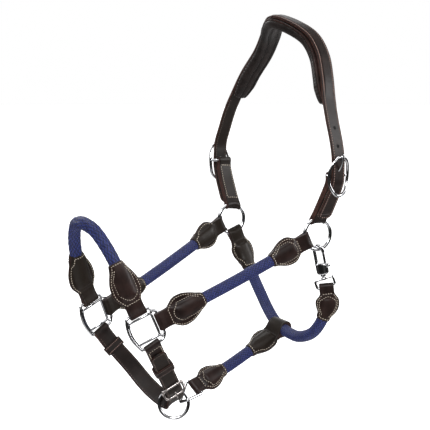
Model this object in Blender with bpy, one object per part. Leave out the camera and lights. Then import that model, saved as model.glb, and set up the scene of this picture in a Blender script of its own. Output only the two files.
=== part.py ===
"""Horse head halter: rolled-rope cheeks and noseband, leather crown and fittings.

Units are metres, +Z up.  The origin is the poll, the middle of the crown where it
rests behind the horse's ears.  -X points to the nose, -Y is the near side (the
horse's left) and +Y the off side.
"""
import math

import bmesh
import bpy
from mathutils import Matrix, Vector

# ---------------------------------------------------------------- driving sizes
GAP = 0.0004              # air left between two pieces that touch
PLY = 0.0024              # one ply of harness leather
STRAP_WIDTH = 0.020       # crown strap, three-quarter inch
CHIN_WIDTH = 0.021        # chin strap
ROPE_RADIUS = 0.0068      # cheek, throat and connector rope
NOSE_ROPE_RADIUS = 0.0074
SOCKET_CLEARANCE = 0.0004
SOCKET_START = 0.42       # where a rope's end sits, as a share of its leather's length

RING_RADIUS = 0.0189      # centre line of the round rings
RING_WIRE = 0.0021
LEAD_RING_RADIUS = 0.0180

DEE_HALF = 0.0144         # centre line of the square's inner bars
DEE_REACH = 0.0213        # from the square's centre to its outer bars
DEE_WIRE = 0.0017
DEE_PITCH = math.radians(23.4)
DEE_YAW = math.radians(8.5)

BUCKLE_HALF_WIDTH = 0.0162
BUCKLE_HALF_LENGTH = 0.0235
BUCKLE_WIRE = 0.0019
BUCKLE_DOME = 0.0100      # how far the buckle's end rims stand out
BUCKLE_SIDES = 0.0076
BUCKLE_BAR = 0.0016
TONGUE_WIRE = 0.0013

# places on the off side; the near side mirrors them in Y
RING_CENTRE = Vector((-0.0065, 0.098, -0.2575))
DEE_CENTRE = Vector((-0.227, 0.0615, -0.360))
BUCKLE_CENTRE = Vector((-0.002, 0.1245, -0.1835))

NEAR = -1
OFF = 1
SIDES = (("near", NEAR), ("off", OFF))

LEATHER = ("dark_leather", (0.030, 0.018, 0.014), 0.45, 0.0)
LINING = ("soft_leather", (0.026, 0.017, 0.015), 0.6, 0.0)
FOAM = ("foam", (0.55, 0.53, 0.48), 0.9, 0.0)
ROPE = ("navy_rope", (0.018, 0.022, 0.130), 0.8, 0.0)
CHROME = ("chrome", (0.72, 0.72, 0.74), 0.12, 1.0)
SATIN = ("satin_nickel", (0.62, 0.60, 0.58), 0.3, 1.0)
STEEL = ("spring_steel", (0.45, 0.45, 0.47), 0.35, 1.0)


# ---------------------------------------------------------------- scene helpers
def clear_scene():
    for item in list(bpy.data.objects):
        bpy.data.objects.remove(item, do_unlink=True)


def new_collection(name):
    collection = bpy.data.collections.new(name)
    bpy.context.scene.collection.children.link(collection)
    return collection


def material(spec):
    name, colour, roughness, metallic = spec
    found = bpy.data.materials.get(name)
    if found:
        return found
    made = bpy.data.materials.new(name)
    made.use_nodes = True
    shader = made.node_tree.nodes["Principled BSDF"]
    shader.inputs["Base Color"].default_value = (*colour, 1.0)
    shader.inputs["Roughness"].default_value = roughness
    shader.inputs["Metallic"].default_value = metallic
    return made


def add_object(name, data, spec=None, matrix=None):
    """A part when it has a material, and a cutter when it has none."""
    item = bpy.data.objects.new(name, data)
    if spec:
        PARTS.objects.link(item)
        data.materials.append(material(spec))
    else:
        CUTTERS.objects.link(item)
        item.hide_render = True
        item.display_type = "WIRE"
    if matrix:
        item.matrix_world = matrix
    return item


def finish_mesh(name, work, matrix=None):
    """Turn a bmesh into a mesh with its faces out and its round faces smooth."""
    bmesh.ops.recalc_face_normals(work, faces=work.faces)
    mesh = bpy.data.meshes.new(name)
    work.to_mesh(mesh)
    work.free()
    mesh.shade_smooth()
    mesh.set_sharp_from_angle(angle=math.radians(40))
    return mesh


def boolean(item, other, operation):
    cut = item.modifiers.new(operation.title() + " " + other.name, "BOOLEAN")
    cut.operation = operation
    cut.solver = "EXACT"
    cut.object = other


def cut(item, *cutters):
    for cutter in cutters:
        boolean(item, cutter, "DIFFERENCE")


def join(item, *others):
    for other in others:
        boolean(item, other, "UNION")


def mirrored(point, side):
    return Vector((point[0], side * point[1], point[2]))


def frame(origin, along, outward):
    """Local X across, Y along and Z outward, as a right-handed matrix."""
    y_axis = Vector(along).normalized()
    z_axis = Vector(outward)
    z_axis = (z_axis - y_axis * z_axis.dot(y_axis)).normalized()
    x_axis = y_axis.cross(z_axis)
    turn = Matrix((x_axis, y_axis, z_axis)).transposed().to_4x4()
    return Matrix.Translation(origin) @ turn


# ---------------------------------------------------------------- smooth routes
class Route:
    """A smooth curve through points, read by its length."""

    FINE = 24

    def __init__(self, points):
        knots = [Vector(p) for p in points]
        ends = [knots[0] * 2 - knots[1]] + knots + [knots[-1] * 2 - knots[-2]]
        self.points = [knots[0]]
        for index in range(len(knots) - 1):
            a, b, c, d = ends[index:index + 4]
            for step in range(1, self.FINE + 1):
                t = step / self.FINE
                self.points.append(self.blend(a, b, c, d, t))
        self.marks = [0.0]
        for before, after in zip(self.points, self.points[1:]):
            self.marks.append(self.marks[-1] + (after - before).length)
        self.length = self.marks[-1]

    @staticmethod
    def blend(a, b, c, d, t):
        return 0.5 * (2 * b + (c - a) * t + (2 * a - 5 * b + 4 * c - d) * t ** 2
                      + (3 * b - 3 * c + d - a) * t ** 3)

    def at(self, s):
        """The point at length s, running straight on beyond either end."""
        if s <= 0:
            return self.points[0] + self.tangent(0) * s
        if s >= self.length:
            return self.points[-1] + self.tangent(self.length) * (s - self.length)
        index = 0
        while self.marks[index + 1] < s:
            index += 1
        span = self.marks[index + 1] - self.marks[index]
        t = (s - self.marks[index]) / span
        return self.points[index].lerp(self.points[index + 1], t)

    def tangent(self, s):
        s = min(max(s, 0.0), self.length)
        reach = self.length / 200
        low = max(s - reach, 0.0)
        high = min(s + reach, self.length)
        return (self.raw(high) - self.raw(low)).normalized()

    def raw(self, s):
        index = 0
        while index < len(self.marks) - 2 and self.marks[index + 1] < s:
            index += 1
        span = self.marks[index + 1] - self.marks[index]
        t = (s - self.marks[index]) / span
        return self.points[index].lerp(self.points[index + 1], t)

    def reversed(self):
        return Route(self.points[::-self.FINE])


# ---------------------------------------------------------------- shape helpers
def loft(name, rings, spec=None):
    """A closed skin through rings that hold the same number of points."""
    origin = sum(rings[0], Vector()) / len(rings[0])
    work = bmesh.new()
    loops = [[work.verts.new(point - origin) for point in ring] for ring in rings]
    count = len(loops[0])
    for here, there in zip(loops, loops[1:]):
        for i in range(count):
            j = (i + 1) % count
            work.faces.new((here[i], here[j], there[j], there[i]))
    work.faces.new(loops[0])
    work.faces.new(loops[-1])
    mesh = finish_mesh(name, work)
    return add_object(name, mesh, spec, Matrix.Translation(origin))


def tube(name, points, radius, spec=None, sides=2, cyclic=False, matrix=None):
    """A round wire along points, as a mesh with welded caps."""
    curve = bpy.data.curves.new(name, "CURVE")
    curve.dimensions = "3D"
    curve.bevel_depth = radius
    curve.bevel_resolution = sides
    curve.use_fill_caps = not cyclic
    spline = curve.splines.new("POLY")
    spline.points.add(len(points) - 1)
    for knot, point in zip(spline.points, points):
        knot.co = (*point, 1.0)
    spline.use_cyclic_u = cyclic
    holder = bpy.data.objects.new(name, curve)
    bpy.context.scene.collection.objects.link(holder)
    bpy.context.view_layer.update()
    graph = bpy.context.evaluated_depsgraph_get()
    mesh = bpy.data.meshes.new_from_object(holder.evaluated_get(graph))
    bpy.data.objects.remove(holder, do_unlink=True)
    bpy.data.curves.remove(curve)
    work = bmesh.new()
    work.from_mesh(mesh)
    bmesh.ops.remove_doubles(work, verts=work.verts, dist=0.00001)
    bpy.data.meshes.remove(mesh)
    return add_object(name, finish_mesh(name, work), spec, matrix)


def rod(name, start, end, radius, spec=None, sides=12, matrix=None):
    """A straight round bar from start to end."""
    start = Vector(start)
    end = Vector(end)
    run = end - start
    turn = run.to_track_quat("Z", "Y").to_matrix().to_4x4()
    place = Matrix.Translation((start + end) / 2) @ turn
    work = bmesh.new()
    bmesh.ops.create_cone(work, cap_ends=True, segments=sides, radius1=radius,
                          radius2=radius, depth=run.length, matrix=place)
    return add_object(name, finish_mesh(name, work), spec, matrix)


def torus(name, major, minor, spec=None, around=28, sides=8, matrix=None):
    """A ring about the local Z axis: one turned circle."""
    work = bmesh.new()
    loops = []
    for i in range(around):
        turn = Matrix.Rotation(math.tau * i / around, 3, "Z")
        circle = []
        for j in range(sides):
            angle = math.tau * j / sides
            point = Vector((major + minor * math.cos(angle), 0, minor * math.sin(angle)))
            circle.append(work.verts.new(turn @ point))
        loops.append(circle)
    for i in range(around):
        here = loops[i]
        there = loops[(i + 1) % around]
        for j in range(sides):
            k = (j + 1) % sides
            work.faces.new((here[j], there[j], there[k], here[k]))
    return add_object(name, finish_mesh(name, work), spec, matrix)


def box(name, low, high, spec=None, matrix=None, bevel=0.0):
    """A block between two corners, with its long edges rounded by bevel."""
    low = Vector(low)
    high = Vector(high)
    size = high - low
    place = Matrix.Translation((low + high) / 2) @ Matrix.Diagonal((*size, 1))
    work = bmesh.new()
    bmesh.ops.create_cube(work, size=1.0, matrix=place)
    if bevel:
        bmesh.ops.bevel(work, geom=work.edges[:], offset=bevel, segments=2,
                        profile=0.5, affect="EDGES")
    return add_object(name, finish_mesh(name, work), spec, matrix)


def across(tangent, width_hint):
    """The width direction nearest the hint and square to the tangent."""
    return (width_hint - tangent * width_hint.dot(tangent)).normalized()


def flat_ring(centre, width, normal, half_width, top, bottom):
    """A strap's cross-section: a rectangle with its four edges rounded."""
    corner = min(0.0009, (top + bottom) * 0.3)
    spans = ((-half_width, bottom - corner), (-half_width + corner, bottom),
             (half_width - corner, bottom), (half_width, bottom - corner))
    tops = ((half_width, top - corner), (half_width - corner, top),
            (-half_width + corner, top), (-half_width, top - corner))
    ring = [centre + width * x - normal * z for x, z in spans]
    ring += [centre + width * x + normal * z for x, z in tops]
    return ring


def strap(name, route, spans, facing, spec=LEATHER):
    """A flat strap: spans are (length, half width, top, bottom) along a route.

    facing(s) gives the outward normal's hint at length s.
    """
    rings = []
    for s, half_width, top, bottom in spans:
        tangent = route.tangent(s)
        hint = facing(s)
        normal = (hint - tangent * hint.dot(tangent)).normalized()
        width = tangent.cross(normal)
        rings.append(flat_ring(route.at(s), width, normal, half_width, top, bottom))
    return loft(name, rings, spec)


LEAF_ACROSS = (-1.0, -0.88, -0.6, -0.22, 0.22, 0.6, 0.88, 1.0)


def leaf_ring(centre, width, normal, half_width, edge, crest, bulge, sag=0.0, back=None):
    """A leaf's cross-section: thin stitched edges and a bulge over the rope's end."""
    ring = []
    for face, spread in ((1, LEAF_ACROSS), (-1, LEAF_ACROSS[::-1])):
        for share in spread:
            x = share * half_width
            rise = math.sqrt(max(0.0, 1 - (x / bulge) ** 2))
            z = edge + (crest - edge) * rise
            if abs(share) == 1.0:
                z *= 0.55
            point = centre + width * x + normal * face * z
            if sag:
                bend = RING_RADIUS - math.sqrt(RING_RADIUS ** 2 - x * x)
                point += back * bend * sag
            ring.append(point)
    return ring


def leaf(name, route, length, half_width, rope_radius, widths, cutters,
         hold=DEE_WIRE, neck=0.0108, on_ring=False, spec=LEATHER):
    """A leather rope end: a fold round the metal at s = 0, then a leaf round the rope."""
    fold = hold + GAP + PLY
    flat = 0.0026
    crest = rope_radius + SOCKET_CLEARANCE + 0.0015
    bulge = min(half_width, rope_radius + 0.0042)
    tip = rope_radius + 0.0021
    stations = [
        (-fold, neck - 0.0006, fold * 0.36, fold * 0.36),
        (-fold * 0.78, neck, fold * 0.64, fold * 0.64),
        (-fold * 0.30, neck, fold * 0.96, fold * 0.96),
        (fold * 0.45, neck, fold * 0.96, fold * 0.96),
        (fold * 1.8, neck, flat * 1.2, flat * 1.2),
        (max(length * 0.21, fold * 2.2), neck * 1.03, flat, flat * 1.1),
        (length * 0.31, half_width * 0.80, flat * 0.9, crest * 0.66),
        (length * 0.38, half_width * 0.92, flat * 0.9, crest),
        (length * 0.48, half_width, flat * 0.8, crest),
        (length * 0.60, half_width * 0.97, flat * 0.8, crest),
        (length * 0.74, max(half_width * 0.80, tip), flat * 0.8, crest),
        (length * 0.87, max(half_width * 0.60, tip), flat * 0.7, crest),
        (length, tip - 0.0004, flat * 0.5, crest - 0.0003),
    ]
    first, last = widths
    rings = []
    for s, half, edge, top in stations:
        tangent = route.tangent(s)
        share = min(max(s / length, 0.0), 1.0)
        width = across(tangent, Vector(first).lerp(Vector(last), share))
        normal = width.cross(tangent)
        reach = max(bulge, half) if s < length * 0.2 else min(bulge, half)
        sag = 0.0
        if on_ring:
            sag = min(max(1 - (s - fold * 0.45) / (fold * 1.6), 0.0), 1.0)
        rings.append(leaf_ring(route.at(s), width, normal, half, edge, top,
                               reach * 1.001, sag, -tangent))
    made = loft(name, rings, spec)
    cut(made, *cutters)
    return made


def rope(name, route, start, end, radius, spec=ROPE):
    """A rope and the socket cutter that fits it."""
    count = max(3, round((end - start) / (radius * 3.6)))
    marks = [start + (end - start) * i / count for i in range(count + 1)]
    points = [route.at(s) for s in marks]
    made = tube(name, points, radius, spec, sides=3)
    points[0] = route.at(start - 0.0008)
    points[-1] = route.at(end + 0.0008)
    socket = tube("cut_" + name, points, radius + SOCKET_CLEARANCE, sides=3)
    return made, socket


# ---------------------------------------------------------------- frames and places
def dee_matrix(side):
    """Local X runs back along the cheek, Y up the noseband."""
    back = Vector((math.cos(DEE_PITCH) * math.cos(DEE_YAW),
                   math.cos(DEE_PITCH) * math.sin(DEE_YAW) * side,
                   math.sin(DEE_PITCH)))
    rise = Vector((-math.sin(DEE_PITCH), -0.10 * side, math.cos(DEE_PITCH)))
    outward = back.cross(rise)
    return frame(mirrored(DEE_CENTRE, side), rise, outward)


def dee_point(side, x, y, z=0.0):
    return dee_matrix(side) @ Vector((x, y, z))


def dee_axis(side, index):
    return dee_matrix(side).to_3x3().col[index].copy()


RING_TURN = Matrix.Rotation(math.radians(90), 4, "X")


def ring_matrix(side):
    """The ring's turning axis, its local Z, lies along Y."""
    return Matrix.Translation(mirrored(RING_CENTRE, side)) @ RING_TURN


def ring_point(side, degrees):
    """A point on the ring's centre line, counted from the front (-X) upwards."""
    angle = math.radians(degrees)
    step = Vector((-math.cos(angle), 0, math.sin(angle))) * RING_RADIUS
    return mirrored(RING_CENTRE, side) + step


def ring_tangent(degrees):
    angle = math.radians(degrees)
    return Vector((math.sin(angle), 0, math.cos(angle)))


CHEEK_ANGLE = -23.6       # where each fitting holds its ring
THROAT_ANGLE = -106.0
CROWN_ANGLE = 93.5


def make_ring(side_name, side):
    matrix = ring_matrix(side)
    made = torus(side_name + "_ring", RING_RADIUS, RING_WIRE, CHROME, matrix=matrix)
    room = torus("cut_" + side_name + "_ring", RING_RADIUS, RING_WIRE + GAP,
                 matrix=matrix)
    return made, room


# ---------------------------------------------------------------- halter squares
def make_dee(side_name, side):
    """A cast square: three outer bars for leather and one curved front bar."""
    name = side_name + "_dee"
    matrix = dee_matrix(side)
    reach = DEE_REACH
    outline = [(-0.0135, reach), (0.0115, reach), (0.0145, reach - 0.0008),
               (0.0160, 0.0182), (0.0180, 0.0160), (reach - 0.0008, 0.0142),
               (reach, 0.0115), (reach, -0.0115), (0.0205, -0.0150),
               (0.0180, -0.0188), (0.0145, -0.0208), (0.0110, -reach),
               (-0.0114, -reach), (-0.0144, -0.0196), (-0.0172, -0.0130),
               (-0.0194, -0.0045), (-0.0198, 0.0040), (-0.0188, 0.0120),
               (-0.0168, 0.0180)]
    made = tube(name, [(x, y, 0) for x, y in outline], DEE_WIRE, CHROME,
                cyclic=True, matrix=matrix)
    half = DEE_HALF
    square = [(-0.0172, half), (half, half), (half, -half), (-0.0152, -half)]
    inner = tube("join_" + name + "_square", [(x, y, 0) for x, y in square],
                 DEE_WIRE * 0.94, matrix=matrix)
    top = rod("join_" + name + "_top", (half, half, 0), (0.0170, 0.0170, 0),
              DEE_WIRE * 0.9, matrix=matrix)
    low = rod("join_" + name + "_low", (half, -half, 0), (0.0184, -0.0184, 0),
              DEE_WIRE * 0.9, matrix=matrix)
    arc = outline[14:]
    rib = [(x + 0.0026, y * 0.93, 0) for x, y in arc]
    front = tube("join_" + name + "_front", rib, DEE_WIRE * 0.9, matrix=matrix)
    join(made, inner, top, low, front)
    return made


def dee_bar_cutter(side_name, side, where):
    """Room round one outer bar for the leather folded over it."""
    ends = {
        "top": ((-0.013, DEE_REACH), (0.013, DEE_REACH)),
        "rear": ((DEE_REACH, -0.013), (DEE_REACH, 0.013)),
        "bottom": ((-0.013, -DEE_REACH), (0.013, -DEE_REACH)),
    }[where]
    matrix = dee_matrix(side)
    start, end = [matrix @ Vector((x, y, 0)) for x, y in ends]
    return rod("cut_" + side_name + "_" + where, start, end, DEE_WIRE + GAP)


# ---------------------------------------------------------------- noseband
NOSE_HALF = (             # off half of the noseband's route, dee to the middle
    (-0.2470, 0.0565, -0.3150),
    (-0.2585, 0.0500, -0.2840),
    (-0.2665, 0.0400, -0.2620),
    (-0.2730, 0.0250, -0.2445),
    (-0.2770, 0.0100, -0.2378),
)
NOSE_TOP = (-0.2780, 0.0, -0.2365)
NOSE_LEAF = 0.066
NOSE_LEAF_HALF_WIDTH = 0.0175


def make_noseband():
    near_half = [mirrored(p, NEAR) for p in NOSE_HALF]
    points = [dee_point(NEAR, 0, DEE_REACH)] + near_half + [Vector(NOSE_TOP)]
    points += [Vector(p) for p in NOSE_HALF[::-1]] + [dee_point(OFF, 0, DEE_REACH)]
    route = Route(points)
    inset = NOSE_LEAF * SOCKET_START
    _, socket = rope("nose_rope", route, inset, route.length - inset,
                     NOSE_ROPE_RADIUS)
    for side_name, side in SIDES:
        way = route if side == NEAR else route.reversed()
        bar = dee_bar_cutter(side_name, side, "top")
        width = dee_axis(side, 0)
        leaf(side_name + "_nose_leather", way, NOSE_LEAF, NOSE_LEAF_HALF_WIDTH,
             NOSE_ROPE_RADIUS, (width, width), (socket, bar))


# ---------------------------------------------------------------- cheek pieces
CHEEK_FRONT_LEAF = 0.060
CHEEK_REAR_LEAF = 0.050


def make_cheek(side_name, side, ring_room):
    start = dee_point(side, DEE_REACH, 0)
    end = ring_point(side, CHEEK_ANGLE)
    middle = (start + end) / 2 - Vector((0, 0, 0.0015))
    route = Route([start, middle, end])
    front = CHEEK_FRONT_LEAF * SOCKET_START
    rear = CHEEK_REAR_LEAF * SOCKET_START
    _, socket = rope(side_name + "_cheek_rope", route, front, route.length - rear,
                     ROPE_RADIUS)
    bar = dee_bar_cutter(side_name, side, "rear")
    width = dee_axis(side, 1)
    tangent = ring_tangent(CHEEK_ANGLE)
    leaf(side_name + "_cheek_front_leather", route, CHEEK_FRONT_LEAF, 0.0178,
         ROPE_RADIUS, (width, width), (socket, bar))
    leaf(side_name + "_cheek_rear_leather", route.reversed(), CHEEK_REAR_LEAF, 0.0158,
         ROPE_RADIUS, (tangent, width), (socket, ring_room),
         hold=RING_WIRE, neck=0.0098, on_ring=True)


# ---------------------------------------------------------------- throat strap
THROAT_POINTS = (
    (0.0065, -0.1015, -0.3430),
    (0.0015, -0.0960, -0.3655),
    (-0.0005, -0.0790, -0.3825),
    (0.0010, -0.0500, -0.3915),
    (0.0035, -0.0250, -0.3915),
    (0.0050, 0.0000, -0.3865),
    (0.0075, 0.0200, -0.3785),
    (0.0110, 0.0400, -0.3670),
    (0.0140, 0.0600, -0.3515),
    (0.0140, 0.0755, -0.3345),
    (0.0115, 0.0860, -0.3170),
    (0.0070, 0.0935, -0.2980),
)
NEAR_THROAT_LEAF = 0.041
OFF_THROAT_LEAF = 0.050


def make_throat(ring_room):
    end = ring_point(OFF, THROAT_ANGLE)
    route = Route([EYE_BAR] + list(THROAT_POINTS) + [end])
    near_inset = NEAR_THROAT_LEAF * SOCKET_START
    off_inset = OFF_THROAT_LEAF * SOCKET_START
    _, socket = rope("throat_rope", route, near_inset, route.length - off_inset,
                     ROPE_RADIUS)
    along_eye = EYE_MATRIX.to_3x3().col[0].copy()
    bar = rod("cut_eye_bar", EYE_BAR - along_eye * 0.02, EYE_BAR + along_eye * 0.02,
              EYE_WIRE + GAP)
    leaf("near_throat_leather", route, NEAR_THROAT_LEAF, 0.0135, ROPE_RADIUS,
         (along_eye, along_eye), (socket, bar), hold=EYE_WIRE, neck=0.0088)
    tangent = ring_tangent(THROAT_ANGLE)
    leaf("off_throat_leather", route.reversed(), OFF_THROAT_LEAF, 0.0140, ROPE_RADIUS,
         (tangent, tangent), (socket, ring_room), hold=RING_WIRE, neck=0.0098,
         on_ring=True)
    return route, socket


# ---------------------------------------------------------------- bolt snap
EYE_WIRE = 0.0014
EYE_HALF_WIDTH = 0.0114
EYE_HALF_HEIGHT = 0.0050
SNAP_ANGLE = -94.0        # where the hook hangs on the near ring
SNAP_DOWN = Vector((0.208, -0.035, -0.977))
SNAP_DROP = 0.0325        # ring's wire to the foot of the hook's body
HOOK_WIRE = 0.0020
HOOK_HALF = 0.0056        # limb to the snap's middle
HOOK_TOP = 0.0316
BODY_TOP = 0.0150
BOLT_RADIUS = 0.0015
BOLT_TRAVEL = 0.0050
STEM_HEIGHT = 0.0124      # the thumb knob's stem above the hook's foot
HOOK_ORIGIN = ring_point(NEAR, SNAP_ANGLE) + SNAP_DOWN * SNAP_DROP
HOOK_MATRIX = frame(HOOK_ORIGIN, -SNAP_DOWN, (-0.86, -0.50, 0.10))
EYE_TOP_BAR = HOOK_MATRIX @ Vector((0, -0.0046, 0))
EYE_MATRIX = frame(EYE_TOP_BAR, (-0.26, 0.17, 0.95), (-0.497, -0.871, 0.02))
EYE_BAR = EYE_MATRIX @ Vector((0, -2 * EYE_HALF_HEIGHT, 0))


def make_eye():
    """The swivel eye: a flat loop for the leather and a headed stud."""
    w = EYE_HALF_WIDTH
    h = 2 * EYE_HALF_HEIGHT
    r = 0.0016
    outline = [(-w, -r), (-w + r, 0), (w - r, 0), (w, -r), (w, -h + r), (w - r, -h),
               (-w + r, -h), (-w, -h + r)]
    made = tube("snap_eye", [(x, y, 0) for x, y in outline], EYE_WIRE, CHROME,
                cyclic=True, matrix=EYE_MATRIX)
    stud = rod("join_eye_stud", (0, -0.0046, 0), (0, 0.0050, 0), 0.0016,
               matrix=HOOK_MATRIX)
    head = rod("join_eye_head", (0, 0.0038, 0), (0, 0.0060, 0), 0.0026,
               matrix=HOOK_MATRIX)
    join(made, stud, head)


def make_hook():
    """The hook's body, bored for the swivel's stud and for the bolt."""
    top = HOOK_TOP
    half = HOOK_HALF
    arc = []
    for i in range(9):
        angle = math.pi - math.pi * i / 8
        arc.append((half * math.cos(angle), top + half * math.sin(angle), 0))
    path = [(-half + 0.0006, 0.006, 0), (-half, 0.014, 0), (-half, 0.022, 0)]
    path += arc + [(half, top - 0.0030, 0)]
    made = box("snap_hook", (-0.0076, 0, -0.0037), (0.0084, BODY_TOP, 0.0037),
               CHROME, HOOK_MATRIX, bevel=0.0014)
    limb = tube("join_hook_limb", path, HOOK_WIRE, matrix=HOOK_MATRIX, sides=3)
    join(made, limb)
    hole = rod("cut_swivel_hole", (0, -0.002, 0), (0, 0.004, 0), 0.0020,
               matrix=HOOK_MATRIX)
    seat = rod("cut_swivel_seat", (0, 0.0034, 0), (0, 0.0064, 0), 0.0030,
               matrix=HOOK_MATRIX)
    bore = rod("cut_bolt_bore", (half, 0.0018, 0), (half, 0.0200, 0), 0.0019,
               matrix=HOOK_MATRIX)
    slot = box("cut_bolt_slot", (half, STEM_HEIGHT - BOLT_TRAVEL - 0.0022, -0.0014),
               (0.012, STEM_HEIGHT + 0.0066, 0.0014), matrix=HOOK_MATRIX)
    cut(made, hole, seat, bore, slot)


def make_bolt():
    """The sliding bolt with its thumb knob, drawn down to open the hook."""
    half = HOOK_HALF
    tip = HOOK_TOP - 0.0030 - GAP
    made = rod("snap_bolt", (half, 0.0096, 0), (half, tip, 0), BOLT_RADIUS, CHROME,
               matrix=HOOK_MATRIX)
    stem = rod("join_bolt_stem", (half, STEM_HEIGHT, 0), (half + 0.0050, STEM_HEIGHT, 0),
               0.0010, matrix=HOOK_MATRIX)
    knob = rod("join_bolt_knob", (half + 0.0034, STEM_HEIGHT, 0),
               (half + 0.0058, STEM_HEIGHT, 0), 0.0022, matrix=HOOK_MATRIX)
    join(made, stem, knob)


def make_spring():
    turns = 5
    per_turn = 9
    low = 0.0024
    high = 0.0092
    points = []
    for i in range(turns * per_turn + 1):
        share = i / (turns * per_turn)
        angle = math.tau * turns * share
        points.append((HOOK_HALF + 0.00125 * math.cos(angle), low + (high - low) * share,
                       0.00125 * math.sin(angle)))
    tube("snap_spring", points, 0.0003, STEEL, sides=0, matrix=HOOK_MATRIX)


# ---------------------------------------------------------------- chin link, connector
LINK_WIRE = 0.0019
LINK_HALF_REAR = 0.0125
LINK_HALF_FRONT = 0.0088
LINK_LENGTH = 0.0252
LINK_TWIST = 72.0            # degrees, front bar from the rear bar
LINK_BEND = 0.0022
LINK_BAR = Vector((-0.1258, -0.0077, -0.4484))
LINK_MATRIX = frame(LINK_BAR, (0.766, 0.187, 0.616), (0.202, 0.839, -0.506))
CONNECTOR_POINTS = (
    (-0.1000, -0.0035, -0.4396),
    (-0.0740, -0.0008, -0.4297),
    (-0.0460, 0.0, -0.4160),
    (-0.0180, 0.0, -0.4010),
)
CONNECTOR_FRONT_LEAF = 0.048
CONNECTOR_REAR_LEAF = 0.054


def make_link():
    """The chin link: a twisted loop that hangs on the lead ring."""
    rear = LINK_HALF_REAR
    front = LINK_HALF_FRONT
    end = -LINK_LENGTH
    bend = LINK_BEND
    across = Matrix.Rotation(math.radians(-LINK_TWIST), 3, "Y") @ Vector((1, 0, 0))
    points = [(-rear, -bend, 0), (-rear + bend, 0, 0), (rear - bend, 0, 0), (rear, -bend, 0)]
    for x, y in ((front, end + bend), (front - bend, end), (-front + bend, end),
                 (-front, end + bend)):
        points.append(across * x + Vector((0, y, 0)))
    tube("chin_link", points, LINK_WIRE, CHROME, cyclic=True, matrix=LINK_MATRIX)


def make_connector(throat, throat_socket):
    """The strap under the jaw, from the chin link back to the throat strap."""
    near_middle = min((throat.at(throat.length * i / 200) for i in range(201)),
                      key=lambda p: abs(p.y - 0.001))
    route = Route([LINK_BAR] + list(CONNECTOR_POINTS) + [near_middle])
    front = CONNECTOR_FRONT_LEAF * SOCKET_START
    rear = CONNECTOR_REAR_LEAF * (SOCKET_START + 0.05)
    _, socket = rope("connector_rope", route, front, route.length - rear, ROPE_RADIUS)
    width = LINK_MATRIX.to_3x3().col[0].copy()
    bar = rod("cut_link_bar", LINK_BAR - width * 0.02, LINK_BAR + width * 0.02,
              LINK_WIRE + GAP)
    leaf("connector_front_leather", route, CONNECTOR_FRONT_LEAF, 0.0142, ROPE_RADIUS,
         (width, width), (socket, bar), hold=LINK_WIRE, neck=0.0095)
    mark = min(range(401), key=lambda i: (throat.at(throat.length * i / 400)
                                          - near_middle).length)
    along_throat = throat.tangent(throat.length * mark / 400)
    if along_throat.dot(width) < 0:
        along_throat = -along_throat
    leaf("connector_rear_leather", route.reversed(), CONNECTOR_REAR_LEAF, 0.0142,
         ROPE_RADIUS, (along_throat, width), (socket, throat_socket),
         hold=ROPE_RADIUS, neck=0.0122)


# ---------------------------------------------------------------- buckles
def buckle_frame(name, matrix, half_width, half_length, wire, bar, rims, square, spec):
    """A centre-bar buckle; rims are the lower, upper and side rims' heights."""
    lower, upper, sides = rims
    power = 0.36 if square else 1.0
    count = 28
    points = []
    for i in range(count):
        angle = math.tau * (i + 0.5) / count
        c = math.cos(angle)
        s = math.sin(angle)
        x = half_width * math.copysign(abs(c) ** power, c)
        y = half_length * math.copysign(abs(s) ** power, s)
        share = min(1.0, (y / (half_length * 0.78)) ** 2)
        rim = upper if y > 0 else lower
        points.append((x, y, sides + (rim - sides) * share))
    made = tube(name, points, wire, spec, cyclic=True, matrix=matrix)
    bent = [(1.0, sides), (0.92, sides * 0.84), (0.82, sides * 0.42), (0.72, sides * 0.06),
            (0.62, 0.0)]
    path = [(-half_width * x, 0, z) for x, z in bent]
    path += [(half_width * x, 0, z) for x, z in bent[::-1]]
    pin = tube("join_" + name + "_bar", path, bar, sides=2, matrix=matrix)
    join(made, pin)


def buckle_tongue(name, matrix, path, eye, wire, spec):
    """A tongue: an eye round the centre bar and a rod out to the rim."""
    eye_turn = matrix @ Matrix.Rotation(math.radians(90), 4, "Y")
    major, minor = eye
    made = torus(name, major, minor, spec, around=14, sides=6, matrix=eye_turn)
    smooth = Route([(0, y, z) for y, z in path])
    points = [smooth.at(smooth.length * i / 7) for i in range(8)]
    stem = tube("join_" + name + "_stem", points, wire, sides=1, matrix=matrix)
    join(made, stem)


def folded_strap(name, route, folds, half_width, body, widths, cutters, on_ring=False,
                 spec=LEATHER):
    """A strap folded round metal at both ends of its route and sewn between."""
    low, high = folds
    length = route.length
    stations = [(-low, 0.36 * low), (-low * 0.78, 0.64 * low), (-low * 0.3, 0.96 * low),
                (low * 0.45, 0.96 * low), (low * 1.9, body), (length * 0.5, body),
                (length - high * 1.9, body), (length - high * 0.45, 0.96 * high),
                (length + high * 0.3, 0.96 * high), (length + high * 0.78, 0.64 * high),
                (length + high, 0.36 * high)]
    first, last = widths
    rings = []
    for s, thick in stations:
        tangent = route.tangent(s)
        share = min(max(s / length, 0.0), 1.0)
        width = across(tangent, Vector(first).lerp(Vector(last), share))
        normal = width.cross(tangent)
        sag = 0.0
        if on_ring:
            sag = min(max(1 - (s - low * 0.45) / (low * 1.6), 0.0), 1.0)
        rings.append(leaf_ring(route.at(s), width, normal, half_width, thick, thick,
                               half_width * 1.01, sag, -tangent))
    made = loft(name, rings, spec)
    cut(made, *cutters)


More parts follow.
